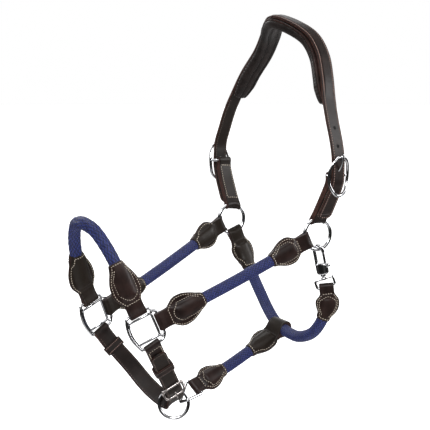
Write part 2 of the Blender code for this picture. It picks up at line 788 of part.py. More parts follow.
# ---------------------------------------------------------------- crown
CROWN_TWIST = math.radians(12)
CHAPE_BODY = 0.0040
CROWN_HALF_THICK = 0.0018
LINING_TOP = CROWN_HALF_THICK + PLY + 2 * GAP   # below the strap's middle
LINING_WALL = 0.0014
CROWN_HALF = (             # off half of the crown strap above the buckle
    (0.0002, 0.1265, -0.1430),
    (0.0020, 0.1150, -0.1175),
    (0.0060, 0.1025, -0.0935),
    (0.0120, 0.0890, -0.0675),
    (0.0190, 0.0700, -0.0405),
    (0.0175, 0.0505, -0.0180),
    (0.0080, 0.0275, -0.0035),
)
CROWN_TOP = Vector((0.0, 0.0, 0.0040))
PAD_REACH = 0.156          # half the padded length, along the crown
PAD_HALF_WIDTH = 0.0130
TAIL_MARKS = (0.0050, 0.0200, 0.0340, 0.0450)   # tail's points above the ring


def buckle_matrix(side):
    outward = Vector((-math.sin(CROWN_TWIST) * side, math.cos(CROWN_TWIST) * side, 0))
    return frame(mirrored(BUCKLE_CENTRE, side), (0.03, 0.10 * side, 0.99), outward)


def chape_route(side):
    """From the ring's wire up to the buckle's centre bar."""
    low = ring_point(side, CROWN_ANGLE)
    high = mirrored(BUCKLE_CENTRE, side)
    rise = buckle_matrix(side).to_3x3().col[1]
    middle = (low + high) / 2 + mirrored((0, 0.0026, -0.0010), side)
    return Route([low, middle, high - rise * 0.010, high])


def chape_widths(side):
    """The chape's width direction at the ring and at the buckle."""
    high = buckle_matrix(side).to_3x3().col[0].copy()
    low = ring_tangent(CROWN_ANGLE)
    if low.dot(high) < 0:
        low = -low
    return low.lerp(high, 0.4), high


def make_crown_side(side_name, side, ring_room):
    name = side_name + "_crown"
    matrix = buckle_matrix(side)
    buckle_frame(name + "_buckle", matrix, BUCKLE_HALF_WIDTH, BUCKLE_HALF_LENGTH,
                 BUCKLE_WIRE, BUCKLE_BAR, (BUCKLE_DOME + 0.0012, BUCKLE_DOME, BUCKLE_SIDES),
                 False, CHROME)
    rest = BUCKLE_DOME + BUCKLE_WIRE + TONGUE_WIRE + GAP
    path = [(0.0004, 0.0031), (0.0026, 0.0042), (0.0052, 0.0066), (0.0090, 0.0096),
            (0.0150, 0.0118), (BUCKLE_HALF_LENGTH, rest),
            (BUCKLE_HALF_LENGTH + 0.0030, rest - 0.0002)]
    buckle_tongue(name + "_tongue", matrix, path, (0.0031, 0.0010), TONGUE_WIRE,
                  CHROME)
    route = chape_route(side)
    width = matrix.to_3x3().col[0].copy()
    bar = rod("cut_" + name + "_bar", (-0.02, 0, 0), (0.02, 0, 0), BUCKLE_BAR + GAP,
              matrix=matrix)
    slot = box("cut_" + name + "_slot", (-0.0019, -0.0050, -0.008),
               (0.0019, 0.008, 0.008), matrix=matrix)
    folded_strap(name + "_chape", route, (RING_WIRE + GAP + PLY, BUCKLE_BAR + GAP + PLY),
                 0.0098, CHAPE_BODY, chape_widths(side), (ring_room, bar, slot), True)


def chape_normal(side, route, s):
    tangent = route.tangent(s)
    low, high = chape_widths(side)
    share = min(max(s / route.length, 0.0), 1.0)
    return across(tangent, low.lerp(high, share)).cross(tangent)


def crown_knots(side):
    """The crown strap's route on one side, from its tip up to the crown."""
    matrix = buckle_matrix(side)
    route = chape_route(side)
    knots = []
    offset = CHAPE_BODY + GAP + CROWN_HALF_THICK + 0.0009
    for s in TAIL_MARKS:
        knots.append(route.at(s) + chape_normal(side, route, s) * offset)
    local = [(-0.0080, 0.0074), (0.0, 0.0073), (0.0100, 0.0064), (0.0235, 0.0046)]
    knots += [matrix @ Vector((0, y, z)) for y, z in local]
    return knots + [mirrored(p, side) for p in CROWN_HALF]


def crown_normal(route, s):
    """Outward normal, turned about the strap as it hangs."""
    tangent = route.tangent(s)
    flat = across(tangent, Vector((1, 0, 0))).cross(tangent)
    wave = math.cos(math.pi * s / route.length)
    twist = CROWN_TWIST * 1.05 * math.copysign(abs(wave) ** 0.5, wave)
    return Matrix.Rotation(twist, 3, tangent) @ flat


def lining_ring(centre, width, normal, half, depth, wall):
    """A channel's cross-section, open on top for the foam."""
    top = LINING_TOP
    low = top + depth
    inner = half - wall
    floor = low - wall
    soft = 0.0026
    outline = [(-half, top), (-half, low - soft), (-half + soft, low),
               (half - soft, low), (half, low - soft), (half, top), (inner, top),
               (inner, floor), (-inner, floor), (-inner, top)]
    return [centre + width * x - normal * z for x, z in outline]


def make_crown():
    near = crown_knots(NEAR)
    off = crown_knots(OFF)
    route = Route(near + [CROWN_TOP] + off[::-1])
    length = route.length
    half = STRAP_WIDTH / 2
    thick = CROWN_HALF_THICK
    tip = [(0.0, half * 0.35), (0.0012, half * 0.62), (0.0036, half * 0.86),
           (0.0080, half)]
    middle = length / 2
    marks = [middle + PAD_REACH * (i / 12 - 1) for i in range(25)]
    count = 10
    step = (marks[0] - 0.0080) / count
    low = tip + [(0.0080 + step * i, half) for i in range(1, count)]
    high = [(length - s, w) for s, w in low[::-1]]
    spans = low + [(s, half) for s in marks] + high

    tails = {side: chape_route(side) for _, side in SIDES}

    def facing(s):
        """The chape's facing along each tail, and the crown's above the buckles."""
        side = NEAR if s < length / 2 else OFF
        along = s if side == NEAR else length - s
        upper = crown_normal(route, s)
        mark = TAIL_MARKS[0] + along
        lower = chape_normal(side, tails[side], mark)
        share = min(max((mark - tails[side].length) / 0.020, 0.0), 1.0)
        return lower.lerp(upper, share)

    made = strap("crown_strap", route, [(s, w, thick, thick) for s, w in spans], facing)
    for side_name, side in SIDES:
        matrix = buckle_matrix(side)
        cut(made, box("cut_" + side_name + "_tongue_hole", (-0.0022, 0.0004, 0.002),
                      (0.0022, 0.0112, 0.013), matrix=matrix))
    rings = {"cover": [], "lining": [], "foam": []}
    for s in marks:
        tangent = route.tangent(s)
        normal = across(tangent, facing(s))
        width = tangent.cross(normal)
        centre = route.at(s)
        end = PAD_REACH - abs(s - middle)
        spread = 0.62 + 0.38 * min(1.0, (end / 0.022) ** 0.7)
        wide = PAD_HALF_WIDTH * spread
        depth = 0.0090 * (0.55 + 0.45 * min(1.0, end / 0.022))
        rings["cover"].append(flat_ring(centre, width, normal, wide,
                                        -thick - GAP, thick + GAP + PLY))
        rings["lining"].append(lining_ring(centre, width, normal, wide - 0.0008,
                                           depth, LINING_WALL))
        foam = wide - 0.0008 - LINING_WALL - GAP
        rings["foam"].append(flat_ring(centre, width, normal, foam, -LINING_TOP - 0.0002,
                                       LINING_TOP + depth - LINING_WALL - GAP))
    loft("crown_cover", rings["cover"], LEATHER)
    loft("crown_lining", rings["lining"], LINING)
    loft("crown_foam", rings["foam"], FOAM)
    return route


# ---------------------------------------------------------------- chin strap
CHIN_HALF_THICK = 0.0013
CHIN_CHAPE_BODY = 0.0024
CHIN_BUCKLE_HALF_WIDTH = 0.0135
CHIN_BUCKLE_HALF_LENGTH = 0.0106
CHIN_WIRE = 0.0015
CHIN_BAR = 0.0013
CHIN_PLY = 0.0018
CHIN_RIMS = (0.0058, 0.0082, 0.0)          # lower, upper and sides
CHIN_BUCKLE_CENTRE = Vector((-0.1694, -0.0254, -0.4415))
CHIN_POINTS = (            # from the off square down to the bottom of the jaw
    (-0.2085, 0.0602, -0.3940),
    (-0.1980, 0.0520, -0.4085),
    (-0.1885, 0.0395, -0.4240),
    (-0.1770, 0.0225, -0.4450),
    (-0.1650, 0.0090, -0.4600),
    (-0.1562, -0.0020, -0.4660),
)
KEEPER_HALF = 0.0055


def chin_matrix():
    """Local Y runs up from the chin buckle to the near square."""
    up = dee_point(NEAR, 0, -DEE_REACH) - CHIN_BUCKLE_CENTRE
    return frame(CHIN_BUCKLE_CENTRE, up, (0.028, -0.874, -0.485))


def chin_width(share):
    """The strap's width direction, from the off square to the buckle."""
    first = dee_axis(OFF, 0)
    last = chin_matrix().to_3x3().col[0]
    return first.lerp(last, share)


def make_chin():
    matrix = chin_matrix()
    near_bar = dee_point(NEAR, 0, -DEE_REACH)
    off_bar = dee_point(OFF, 0, -DEE_REACH)
    reach = (near_bar - CHIN_BUCKLE_CENTRE).length
    width = matrix.to_3x3().col[0].copy()

    buckle_frame("chin_buckle", matrix, CHIN_BUCKLE_HALF_WIDTH,
                 CHIN_BUCKLE_HALF_LENGTH, CHIN_WIRE, CHIN_BAR, CHIN_RIMS, True, SATIN)
    rest = CHIN_RIMS[0] + CHIN_WIRE + 0.0010 + GAP
    path = [(-0.0003, 0.0025), (-0.0022, 0.0034), (-0.0042, 0.0054),
            (-0.0068, 0.0074), (-CHIN_BUCKLE_HALF_LENGTH, rest),
            (-CHIN_BUCKLE_HALF_LENGTH - 0.0022, rest)]
    buckle_tongue("chin_tongue", matrix, path, (0.0025, 0.0008), 0.0010, SATIN)

    bar = rod("cut_chin_bar", (-0.02, 0, 0), (0.02, 0, 0), CHIN_BAR + GAP,
              matrix=matrix)
    slot = box("cut_chin_slot", (-0.0016, -0.008, -0.006), (0.0016, 0.0042, 0.006),
               matrix=matrix)
    dee_bar = dee_bar_cutter("near", NEAR, "bottom")
    chape = Route([near_bar, (near_bar + CHIN_BUCKLE_CENTRE) / 2, CHIN_BUCKLE_CENTRE])
    folded_strap("near_chin_chape", chape,
                 (DEE_WIRE + GAP + CHIN_PLY, CHIN_BAR + GAP + CHIN_PLY),
                 CHIN_WIDTH / 2 - 0.0004, CHIN_CHAPE_BODY,
                 (dee_axis(NEAR, 0), width), (dee_bar, bar, slot))

    tail = CHIN_CHAPE_BODY + GAP + CHIN_HALF_THICK + 0.0003
    local = [(-0.0230, -0.0014), (-0.0160, 0.0004), (-0.0106, 0.0020),
             (-0.0052, 0.0042), (0.0, 0.0052), (0.0060, 0.0048), (0.0110, 0.0044),
             (0.0200, tail), (0.0330, tail), (0.0500, tail), (reach - 0.0150, tail)]
    knots = [off_bar] + [Vector(p) for p in CHIN_POINTS]
    knots += [matrix @ Vector((0, y, z)) for y, z in local]
    route = Route(knots)
    length = route.length
    half = CHIN_WIDTH / 2
    fold = DEE_WIRE + GAP + CHIN_PLY
    thin = CHIN_HALF_THICK
    double = 0.0024
    spans = [(-fold, 0.36 * fold), (-fold * 0.78, 0.64 * fold), (-fold * 0.3, 0.96 * fold),
             (fold * 0.45, 0.96 * fold), (fold * 1.9, double), (0.0150, double),
             (0.0225, double), (0.0300, double), (0.0312, thin)]
    count = 20
    step = (length - 0.0080 - 0.0400) / count
    spans += [(0.0400 + step * i, thin) for i in range(count + 1)]
    ends = [(length - 0.0036, 0.86), (length - 0.0012, 0.62), (length, 0.35)]
    rings = []
    for s, thick in spans + [(s, thin) for s, _ in ends]:
        tangent = route.tangent(s)
        share = min(max(s / (length * 0.55), 0.0), 1.0)
        across_strap = across(tangent, chin_width(share))
        wide = half
        for mark, part in ends:
            if s == mark:
                wide = half * part
        normal = across_strap.cross(tangent)
        corner = leaf_ring(route.at(s), across_strap, normal, wide, thick, thick,
                           wide * 1.01)
        rings.append(corner)
    made = loft("chin_strap", rings, LEATHER)
    hole = box("cut_chin_tongue_hole", (-0.0018, -0.0078, 0.0004),
               (0.0018, 0.0010, 0.0100), matrix=matrix)
    off_room = dee_bar_cutter("off", OFF, "bottom")
    cut(made, hole, off_room)

    keeper("near_chin_keeper", matrix @ Matrix.Translation((0, 0.0415, 0)),
           (half + 0.0005, -CHIN_CHAPE_BODY - GAP, tail + thin + GAP))
    middle = route.at(0.0265)
    tangent = route.tangent(0.0265)
    normal = across(tangent, chin_width(0.15)).cross(tangent)
    keeper("off_chin_keeper", frame(middle, tangent, normal),
           (half + 0.0005, -double - 2 * GAP, double + 2 * GAP))
    return route


def keeper(name, matrix, room):
    """A leather loop round a strap: room is (half width, lowest, highest)."""
    half, low, high = room
    wall = 0.0017
    made = box(name, (-half - wall, -KEEPER_HALF, low - wall),
               (half + wall, KEEPER_HALF, high + wall), LEATHER, matrix, bevel=0.0008)
    cut(made, box("cut_" + name, (-half, -KEEPER_HALF * 2, low),
                  (half, KEEPER_HALF * 2, high), matrix=matrix))


# ---------------------------------------------------------------- lead ring
LEAD_RING_CENTRE = Vector((-0.1562, -0.0075, -0.4665))
LEAD_RING_FACING = Vector((-0.50, -0.86, 0.10))


def make_lead_ring():
    turn = LEAD_RING_FACING.to_track_quat("Z", "Y").to_matrix().to_4x4()
    matrix = Matrix.Translation(LEAD_RING_CENTRE) @ turn
    torus("lead_ring", LEAD_RING_RADIUS, RING_WIRE, CHROME, matrix=matrix)


# ---------------------------------------------------------------- assembly
clear_scene()
PARTS = new_collection("head_halter")
CUTTERS = new_collection("cutters")


def main():
    rooms = {}
    for side_name, side in SIDES:
        _, rooms[side] = make_ring(side_name, side)
        make_dee(side_name, side)
        make_cheek(side_name, side, rooms[side])
        make_crown_side(side_name, side, rooms[side])
    make_noseband()
    make_crown()
    make_eye()
    make_hook()
    make_bolt()
    make_spring()
    throat, socket = make_throat(rooms[OFF])
    make_link()
    make_connector(throat, socket)
    make_chin()
    make_lead_ring()


main()
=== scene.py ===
"""Looks of the horse head halter: braided rope, stitched leather and polished metal."""
import bisect
import math

import bpy
import numpy as np
from mathutils import Matrix, Vector


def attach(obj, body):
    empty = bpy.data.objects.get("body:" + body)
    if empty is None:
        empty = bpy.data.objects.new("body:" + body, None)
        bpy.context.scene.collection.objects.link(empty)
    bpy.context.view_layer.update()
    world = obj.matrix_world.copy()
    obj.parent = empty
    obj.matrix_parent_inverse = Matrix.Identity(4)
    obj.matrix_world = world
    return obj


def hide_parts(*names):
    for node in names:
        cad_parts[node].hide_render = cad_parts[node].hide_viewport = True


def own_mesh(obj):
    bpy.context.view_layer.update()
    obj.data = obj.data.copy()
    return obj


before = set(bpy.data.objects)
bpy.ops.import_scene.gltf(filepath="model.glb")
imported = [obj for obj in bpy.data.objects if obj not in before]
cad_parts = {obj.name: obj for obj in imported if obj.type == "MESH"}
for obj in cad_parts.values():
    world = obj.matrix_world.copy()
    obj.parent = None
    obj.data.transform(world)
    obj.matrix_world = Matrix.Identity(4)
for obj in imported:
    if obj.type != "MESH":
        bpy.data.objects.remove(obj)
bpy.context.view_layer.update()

GAP = 0.0004
PLY = 0.0024
STRAP_WIDTH = 0.020
CHIN_WIDTH = 0.021
ROPE_RADIUS = 0.0068
NOSE_ROPE_RADIUS = 0.0074
SOCKET_START = 0.42
RING_RADIUS = 0.0189
RING_WIRE = 0.0021
LEAD_RING_RADIUS = 0.0180
DEE_HALF = 0.0144
DEE_REACH = 0.0213
DEE_WIRE = 0.0017
DEE_PITCH = math.radians(23.4)
DEE_YAW = math.radians(8.5)
BUCKLE_HALF_WIDTH = 0.0162
BUCKLE_HALF_LENGTH = 0.0235
BUCKLE_WIRE = 0.0019
BUCKLE_DOME = 0.0100
BUCKLE_SIDES = 0.0076
BUCKLE_BAR = 0.0016
TONGUE_WIRE = 0.0013
RING_CENTRE = Vector((-0.0065, 0.098, -0.2575))
DEE_CENTRE = Vector((-0.227, 0.0615, -0.360))
BUCKLE_CENTRE = Vector((-0.002, 0.1245, -0.1835))
NEAR = -1
OFF = 1
SIDES = (("near", NEAR), ("off", OFF))


# ------------------------------------------------------------ places and routes
def mirrored(point, side):
    return Vector((point[0], side * point[1], point[2]))


def basis(origin, along, outward):
    """Local X across, Y along and Z outward."""
    y_axis = Vector(along).normalized()
    z_axis = Vector(outward)
    z_axis = (z_axis - y_axis * z_axis.dot(y_axis)).normalized()
    x_axis = y_axis.cross(z_axis)
    turn = Matrix((x_axis, y_axis, z_axis)).transposed().to_4x4()
    return Matrix.Translation(origin) @ turn


def across(tangent, hint):
    return (hint - tangent * hint.dot(tangent)).normalized()


def spline(a, b, c, d, t):
    """A point between b and c on a smooth curve through a, b, c and d."""
    return 0.5 * (2 * b + (c - a) * t + (2 * a - 5 * b + 4 * c - d) * t ** 2
                  + (3 * b - 3 * c + d - a) * t ** 3)


class Route:
    """A smooth curve through points, read by its length."""

    FINE = 24

    def __init__(self, points):
        knots = [Vector(p) for p in points]
        ends = [knots[0] * 2 - knots[1]] + knots + [knots[-1] * 2 - knots[-2]]
        self.points = [knots[0]]
        for i in range(len(knots) - 1):
            for step in range(1, self.FINE + 1):
                self.points.append(spline(*ends[i:i + 4], step / self.FINE))
        self.marks = [0.0]
        for before, after in zip(self.points, self.points[1:]):
            self.marks.append(self.marks[-1] + (after - before).length)
        self.length = self.marks[-1]

    def raw(self, s):
        i = min(max(bisect.bisect_left(self.marks, s) - 1, 0), len(self.marks) - 2)
        t = (s - self.marks[i]) / (self.marks[i + 1] - self.marks[i])
        return self.points[i].lerp(self.points[i + 1], t)

    def at(self, s):
        if s <= 0:
            return self.points[0] + self.tangent(0) * s
        if s >= self.length:
            return self.points[-1] + self.tangent(self.length) * (s - self.length)
        return self.raw(s)

    def tangent(self, s):
        s = min(max(s, 0.0), self.length)
        reach = self.length / 200
        return (self.raw(min(s + reach, self.length))
                - self.raw(max(s - reach, 0.0))).normalized()

    def reversed(self):
        return Route(self.points[::-self.FINE])


def dee_matrix(side):
    back = Vector((math.cos(DEE_PITCH) * math.cos(DEE_YAW),
                   math.cos(DEE_PITCH) * math.sin(DEE_YAW) * side,
                   math.sin(DEE_PITCH)))
    rise = Vector((-math.sin(DEE_PITCH), -0.10 * side, math.cos(DEE_PITCH)))
    return basis(mirrored(DEE_CENTRE, side), rise, back.cross(rise))


def dee_point(side, x, y, z=0.0):
    return dee_matrix(side) @ Vector((x, y, z))


def dee_axis(side, index):
    return dee_matrix(side).to_3x3().col[index].copy()


def ring_point(side, degrees):
    angle = math.radians(degrees)
    step = Vector((-math.cos(angle), 0, math.sin(angle))) * RING_RADIUS
    return mirrored(RING_CENTRE, side) + step


def ring_tangent(degrees):
    angle = math.radians(degrees)
    return Vector((math.sin(angle), 0, math.cos(angle)))


CHEEK_ANGLE = -23.6
THROAT_ANGLE = -106.0
CROWN_ANGLE = 93.5
SNAP_ANGLE = -94.0
SNAP_DOWN = Vector((0.208, -0.035, -0.977))
SNAP_DROP = 0.0325
HOOK_WIRE = 0.0020
HOOK_HALF = 0.0056
HOOK_TOP = 0.0316
EYE_WIRE = 0.0014
EYE_HALF_WIDTH = 0.0114
EYE_HALF_HEIGHT = 0.0050
HOOK_ORIGIN = ring_point(NEAR, SNAP_ANGLE) + SNAP_DOWN * SNAP_DROP
HOOK_MATRIX = basis(HOOK_ORIGIN, -SNAP_DOWN, (-0.86, -0.50, 0.10))
EYE_TOP_BAR = HOOK_MATRIX @ Vector((0, -0.0046, 0))
EYE_MATRIX = basis(EYE_TOP_BAR, (-0.26, 0.17, 0.95), (-0.497, -0.871, 0.02))
EYE_BAR = EYE_MATRIX @ Vector((0, -2 * EYE_HALF_HEIGHT, 0))
LINK_WIRE = 0.0019
LINK_HALF_REAR = 0.0125
LINK_HALF_FRONT = 0.0088
LINK_LENGTH = 0.0252
LINK_TWIST = 72.0
LINK_BAR = Vector((-0.1258, -0.0077, -0.4484))
LINK_MATRIX = basis(LINK_BAR, (0.766, 0.187, 0.616), (0.202, 0.839, -0.506))
LEAD_RING_CENTRE = Vector((-0.1562, -0.0075, -0.4665))
LEAD_RING_FACING = Vector((-0.50, -0.86, 0.10))


# ------------------------------------------------------------ mesh helpers
def arr(vector):
    return np.array(vector, float)


def unit(vectors):
    return vectors / np.linalg.norm(vectors, axis=-1, keepdims=True)


def carried(tangents, hint):
    """A direction across each tangent, carried along without twist."""
    w = np.cross(tangents[0], hint)
    w /= np.linalg.norm(w)
    out = []
    for t in tangents:
        w = w - t * (w @ t)
        w /= np.linalg.norm(w)
        out.append(w)
    return np.array(out)


def refined(loop, step):
    """A closed path with its points close together, and the direction at each."""
    fine = []
    for p, q in zip(loop, np.roll(loop, -1, 0)):
        count = max(1, int(np.linalg.norm(q - p) / step))
        fine += [p + (q - p) * k / count for k in range(count)]
    fine = np.array(fine)
    return fine, unit(np.roll(fine, -1, 0) - np.roll(fine, 1, 0))


def new_object(name, points, faces, material, body, node=None):
    """A smooth mesh on a body, from points and faces of any sizes."""
    mesh = bpy.data.meshes.new(name)
    points = np.asarray(points, float).reshape(-1, 3)
    count = len(faces)
    if isinstance(faces, list):
        flat = np.concatenate([np.asarray(f) for f in faces])
        starts = np.concatenate([[0], np.cumsum([len(f) for f in faces])[:-1]])
    else:
        flat = faces.reshape(-1)
        starts = np.arange(count) * faces.shape[1]
    mesh.vertices.add(len(points))
    mesh.vertices.foreach_set("co", points.reshape(-1))
    mesh.loops.add(len(flat))
    mesh.loops.foreach_set("vertex_index", flat.astype(np.int32))
    mesh.polygons.add(count)
    mesh.polygons.foreach_set("loop_start", starts.astype(np.int32))
    mesh.update(calc_edges=True)
    mesh.validate()
    mesh.shade_smooth()
    mesh.materials.append(material)
    made = bpy.data.objects.new(name, mesh)
    bpy.context.scene.collection.objects.link(made)
    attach(made, body)
    if node:
        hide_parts(node)
    return made


def grid(points, closed=False):
    """The quads of a tube of rings."""
    rows, columns = points.shape[:2]
    i = np.arange(rows if closed else rows - 1)[:, None]
    j = np.arange(columns)[None, :]
    k = (j + 1) % columns
    n = (i + 1) % rows
    quads = np.stack(np.broadcast_arrays(i * columns + j, i * columns + k,
                                         n * columns + k, n * columns + j), -1)
    return quads.reshape(-1, 4)


def skin(name, points, material, body, node=None, closed=False, vertex=None, corner=None):
    """A closed tube from an array of rings, with named vectors on its vertices."""
    rows, columns = points.shape[:2]
    faces = list(grid(points, closed))
    if not closed:
        faces.append(np.arange(columns)[::-1])
        faces.append(np.arange(columns) + (rows - 1) * columns)
    made = new_object(name, points, faces, material, body, node)
    mesh = made.data
    for key, values in (vertex or {}).items():
        layer = mesh.attributes.new(key, "FLOAT_VECTOR", "POINT")
        layer.data.foreach_set("vector", values.reshape(-1).astype(np.float32))
    for key, values in (corner or {}).items():
        layer = mesh.attributes.new(key, "FLOAT_VECTOR", "CORNER")
        last = rows if closed else rows - 1
        quad = np.stack([values[:last, :-1], values[:last, 1:],
                         values[1:last + 1, 1:], values[1:last + 1, :-1]], 2)
        flat = quad.reshape(-1, 3)
        full = np.zeros((len(mesh.loops), 3))
        full[:len(flat)] = flat
        full[len(flat):] = flat[-1]
        layer.data.foreach_set("vector", full.reshape(-1).astype(np.float32))
    if signed_volume(mesh) < 0:
        mesh.flip_normals()
    return made


def signed_volume(mesh):
    """Six times a mesh's volume, below zero when it is inside out."""
    mesh.calc_loop_triangles()
    count = len(mesh.loop_triangles)
    index = np.empty(count * 3, np.int32)
    mesh.loop_triangles.foreach_get("vertices", index)
    points = np.empty(len(mesh.vertices) * 3)
    mesh.vertices.foreach_get("co", points)
    tri = points.reshape(-1, 3)[index].reshape(-1, 3, 3)
    return np.einsum("ij,ij->i", tri[:, 0], np.cross(tri[:, 1], tri[:, 2])).sum()


def ease(xs, ys, x):
    """A smooth curve through points that never overshoots them."""
    xs = np.asarray(xs, float)
    ys = np.asarray(ys, float)
    step = np.diff(xs)
    slope = np.diff(ys) / step
    m = np.zeros(len(xs))
    product = slope[:-1] * slope[1:]
    total = slope[:-1] + slope[1:]
    good = product > 0
    m[1:-1][good] = 2 * product[good] / total[good]
    m[0] = slope[0]
    m[-1] = slope[-1]
    i = np.clip(np.searchsorted(xs, x) - 1, 0, len(step) - 1)
    h = step[i]
    t = np.clip((x - xs[i]) / h, 0, 1)
    return (ys[i] * (1 + 2 * t) * (1 - t) ** 2 + h * m[i] * t * (1 - t) ** 2
            + ys[i + 1] * t * t * (3 - 2 * t) + h * m[i + 1] * t * t * (t - 1))


class Stations:
    """Places along a route with a width and an outward direction at each."""

    def __init__(self, route, marks, width):
        self.s = np.asarray(marks, float)
        centre, wide, out = [], [], []
        for s in self.s:
            tangent = route.tangent(s)
            w = across(tangent, width(s))
            centre.append(route.at(s))
            wide.append(w)
            out.append(w.cross(tangent))
        self.c = arr(centre)
        self.w = arr(wide)
        self.n = arr(out)

    def read(self, s):
        """Centre, width and normal at any lengths."""
        def pick(values):
            return np.stack([np.interp(s, self.s, values[:, k]) for k in range(3)], -1)
        return pick(self.c), pick(self.w), pick(self.n)


class Slab:
    """A strap or leaf: heights above and below its middle, over length and width."""

    def __init__(self, stations, half, top, bottom=None, shift=None, corner=0.0007,
                 layers=2, groove=()):
        self.st = stations
        self.half = half
        self.top = top
        self.bottom = bottom or top
        self.shift = shift
        self.corner = corner
        self.layers = layers
        self.groove = groove

    def height(self, s, x, face):
        half = self.half(s)
        z = (self.top if face > 0 else self.bottom)(s, x)
        q = np.clip(half - np.abs(x), 0, None)
        r = np.minimum(self.corner, half * 0.4)
        z = z - np.where(q < r, r - np.sqrt(np.clip(r * r - (r - q) ** 2, 0, None)), 0) * 0.8
        for depth, inset, wide in self.groove:
            z = z - depth * np.exp(-((q - inset) / wide) ** 2)
        return z

    def point(self, s, x, face):
        c, w, n = self.st.read(s)
        z = self.height(s, x, face) * face
        p = c + w * x[..., None] + n * z[..., None]
        if self.shift is not None:
            t = np.cross(n, w)
            p = p + t * self.shift(s, x)[..., None]
        return p

    def normal(self, s, x, face):
        d = 0.0004
        a = self.point(s + d, x, face) - self.point(s - d, x, face)
        b = self.point(s, x + d, face) - self.point(s, x - d, face)
        n = np.cross(a, b)
        n /= np.linalg.norm(n, axis=-1, keepdims=True) + 1e-12
        _, _, out = self.st.read(s)
        sign = np.sign((n * out).sum(-1, keepdims=True)) * face
        return n * np.where(sign == 0, 1, sign)

    def build(self, name, material, body, node, count=33, outer=1):
        s = self.st.s
        half = self.half(s)
        u = np.sin(np.linspace(-1, 1, count) * math.pi / 2)
        u = 0.55 * u + 0.45 * np.linspace(-1, 1, count)
        x = half[:, None] * u[None, :]
        grid_s = np.broadcast_to(s[:, None], x.shape)
        high = self.height(grid_s, x, 1)
        low = -self.height(grid_s, x, -1)
        steps = 4 * self.layers
        share = np.linspace(0, 1, steps + 1)[1:-1]
        fade = high[:, -1:] * (1 - share) + low[:, -1:] * share
        pinch = 0.5 - 0.5 * np.cos(share * self.layers * math.tau)
        bulge = 0.00022 * pinch - 0.00012
        right_x = half[:, None] + bulge[None, :]
        fade_left = low[:, :1] * (1 - share) + high[:, :1] * share
        left_x = -half[:, None] - bulge[None, :]
        X = np.hstack([x, right_x, x[:, ::-1], left_x])
        Z = np.hstack([high, fade, low[:, ::-1], fade_left])
        S = np.broadcast_to(s[:, None], X.shape)
        c, w, n = self.st.c, self.st.w, self.st.n
        P = c[:, None] + w[:, None] * X[..., None] + n[:, None] * Z[..., None]
        if self.shift is not None:
            t = np.cross(n, w)
            P = P + t[:, None] * self.shift(S, X)[..., None]
        rows = len(s)
        side = np.ones((rows, len(share)))
        near = np.clip(1 - (half[:, None] - np.abs(x)) / 0.0009, 0, 1) * 0.6
        edge = np.hstack([near, side, near[:, ::-1], side])
        band = np.hstack([np.zeros_like(x), np.broadcast_to(share, side.shape),
                          np.ones_like(x), np.broadcast_to(share[::-1], side.shape)])
        inner = np.hstack([np.full_like(x, float(outer < 0)), side * 0.5,
                           np.full_like(x, float(outer > 0)), side * 0.5])
        vertex = {"cut": np.stack([edge, band * self.layers, inner], -1),
                  "place": np.stack([X, S, Z], -1) * 1000}
        return skin(name, P, material, body, node, vertex=vertex)


def blend(first, last, reach):
    """A direction that turns from one to another over a length."""
    def width(s):
        return Vector(first).lerp(Vector(last), min(max(s / reach, 0.0), 1.0))
    return width


def facing_side(normal, outward):
    """The side of a slab, 1 or -1, that looks outward."""
    return 1 if float(normal @ arr(outward)) > 0 else -1


def round_end(half_width, reach, d):
    """A strap's half width at a distance from its rounded end."""
    q = np.clip(1 - d / reach, 0, 1)
    return half_width * np.clip(np.sqrt(np.clip(1 - q * q, 0, 1)), 0.30, 1)


def dense(path, step=0.0005):
    """More points along a path of (length, across) points."""
    path = np.asarray(path, float)
    out = [path[:1]]
    for a, b in zip(path, path[1:]):
        count = max(1, int(np.hypot(*(b - a)[:2]) / step))
        t = np.linspace(0, 1, count + 1)[1:, None]
        out.append(a + (b - a) * t)
    return np.concatenate(out)


THREADS = {}
HOLES = {}
STITCH_RINGS = 6
STITCH_SIDES = 6
STITCH_PITCH = 0.0031
STITCH_LENGTH = 0.0023
STITCH_RADIUS = 0.00034
SEAM_INSET = 0.0021
SEAM_WIDTH = 0.0006


def punch(slab, s, x, face, body, radius=0.0017):
    """A punched hole: a dished disc in a raised rim, coloured near black as painted shade for the
    hole's depth.
    """
    at, across_it = np.array([s]), np.array([x])
    centre = slab.point(at, across_it, face)[0]
    normal = slab.normal(at, across_it, face)[0]
    wide = slab.st.read(at)[1][0]
    along = np.cross(normal, wide)
    phi = np.linspace(0, math.tau, 20, endpoint=False)
    spoke = np.cos(phi)[:, None] * wide + np.sin(phi)[:, None] * along
    profile = ((1.40, -0.0002), (1.30, 0.00022), (1.10, 0.00028), (0.95, 0.00016),
               (0.85, 0.00010), (0.5, 0.00008), (0.02, 0.00008))
    rings = np.array([centre + spoke * (radius * r) + normal * z for r, z in profile])
    HOLES.setdefault(body, []).append(rings)


def sew(slab, path, face, kind, body, **stitch):
    """Stitches along a path of (length, across) points on one face of a slab."""
    path = dense(path)
    p = slab.point(path[:, 0], path[:, 1], face)
    n = slab.normal(path[:, 0], path[:, 1], face)
    lay(p, n, kind, body, **stitch)


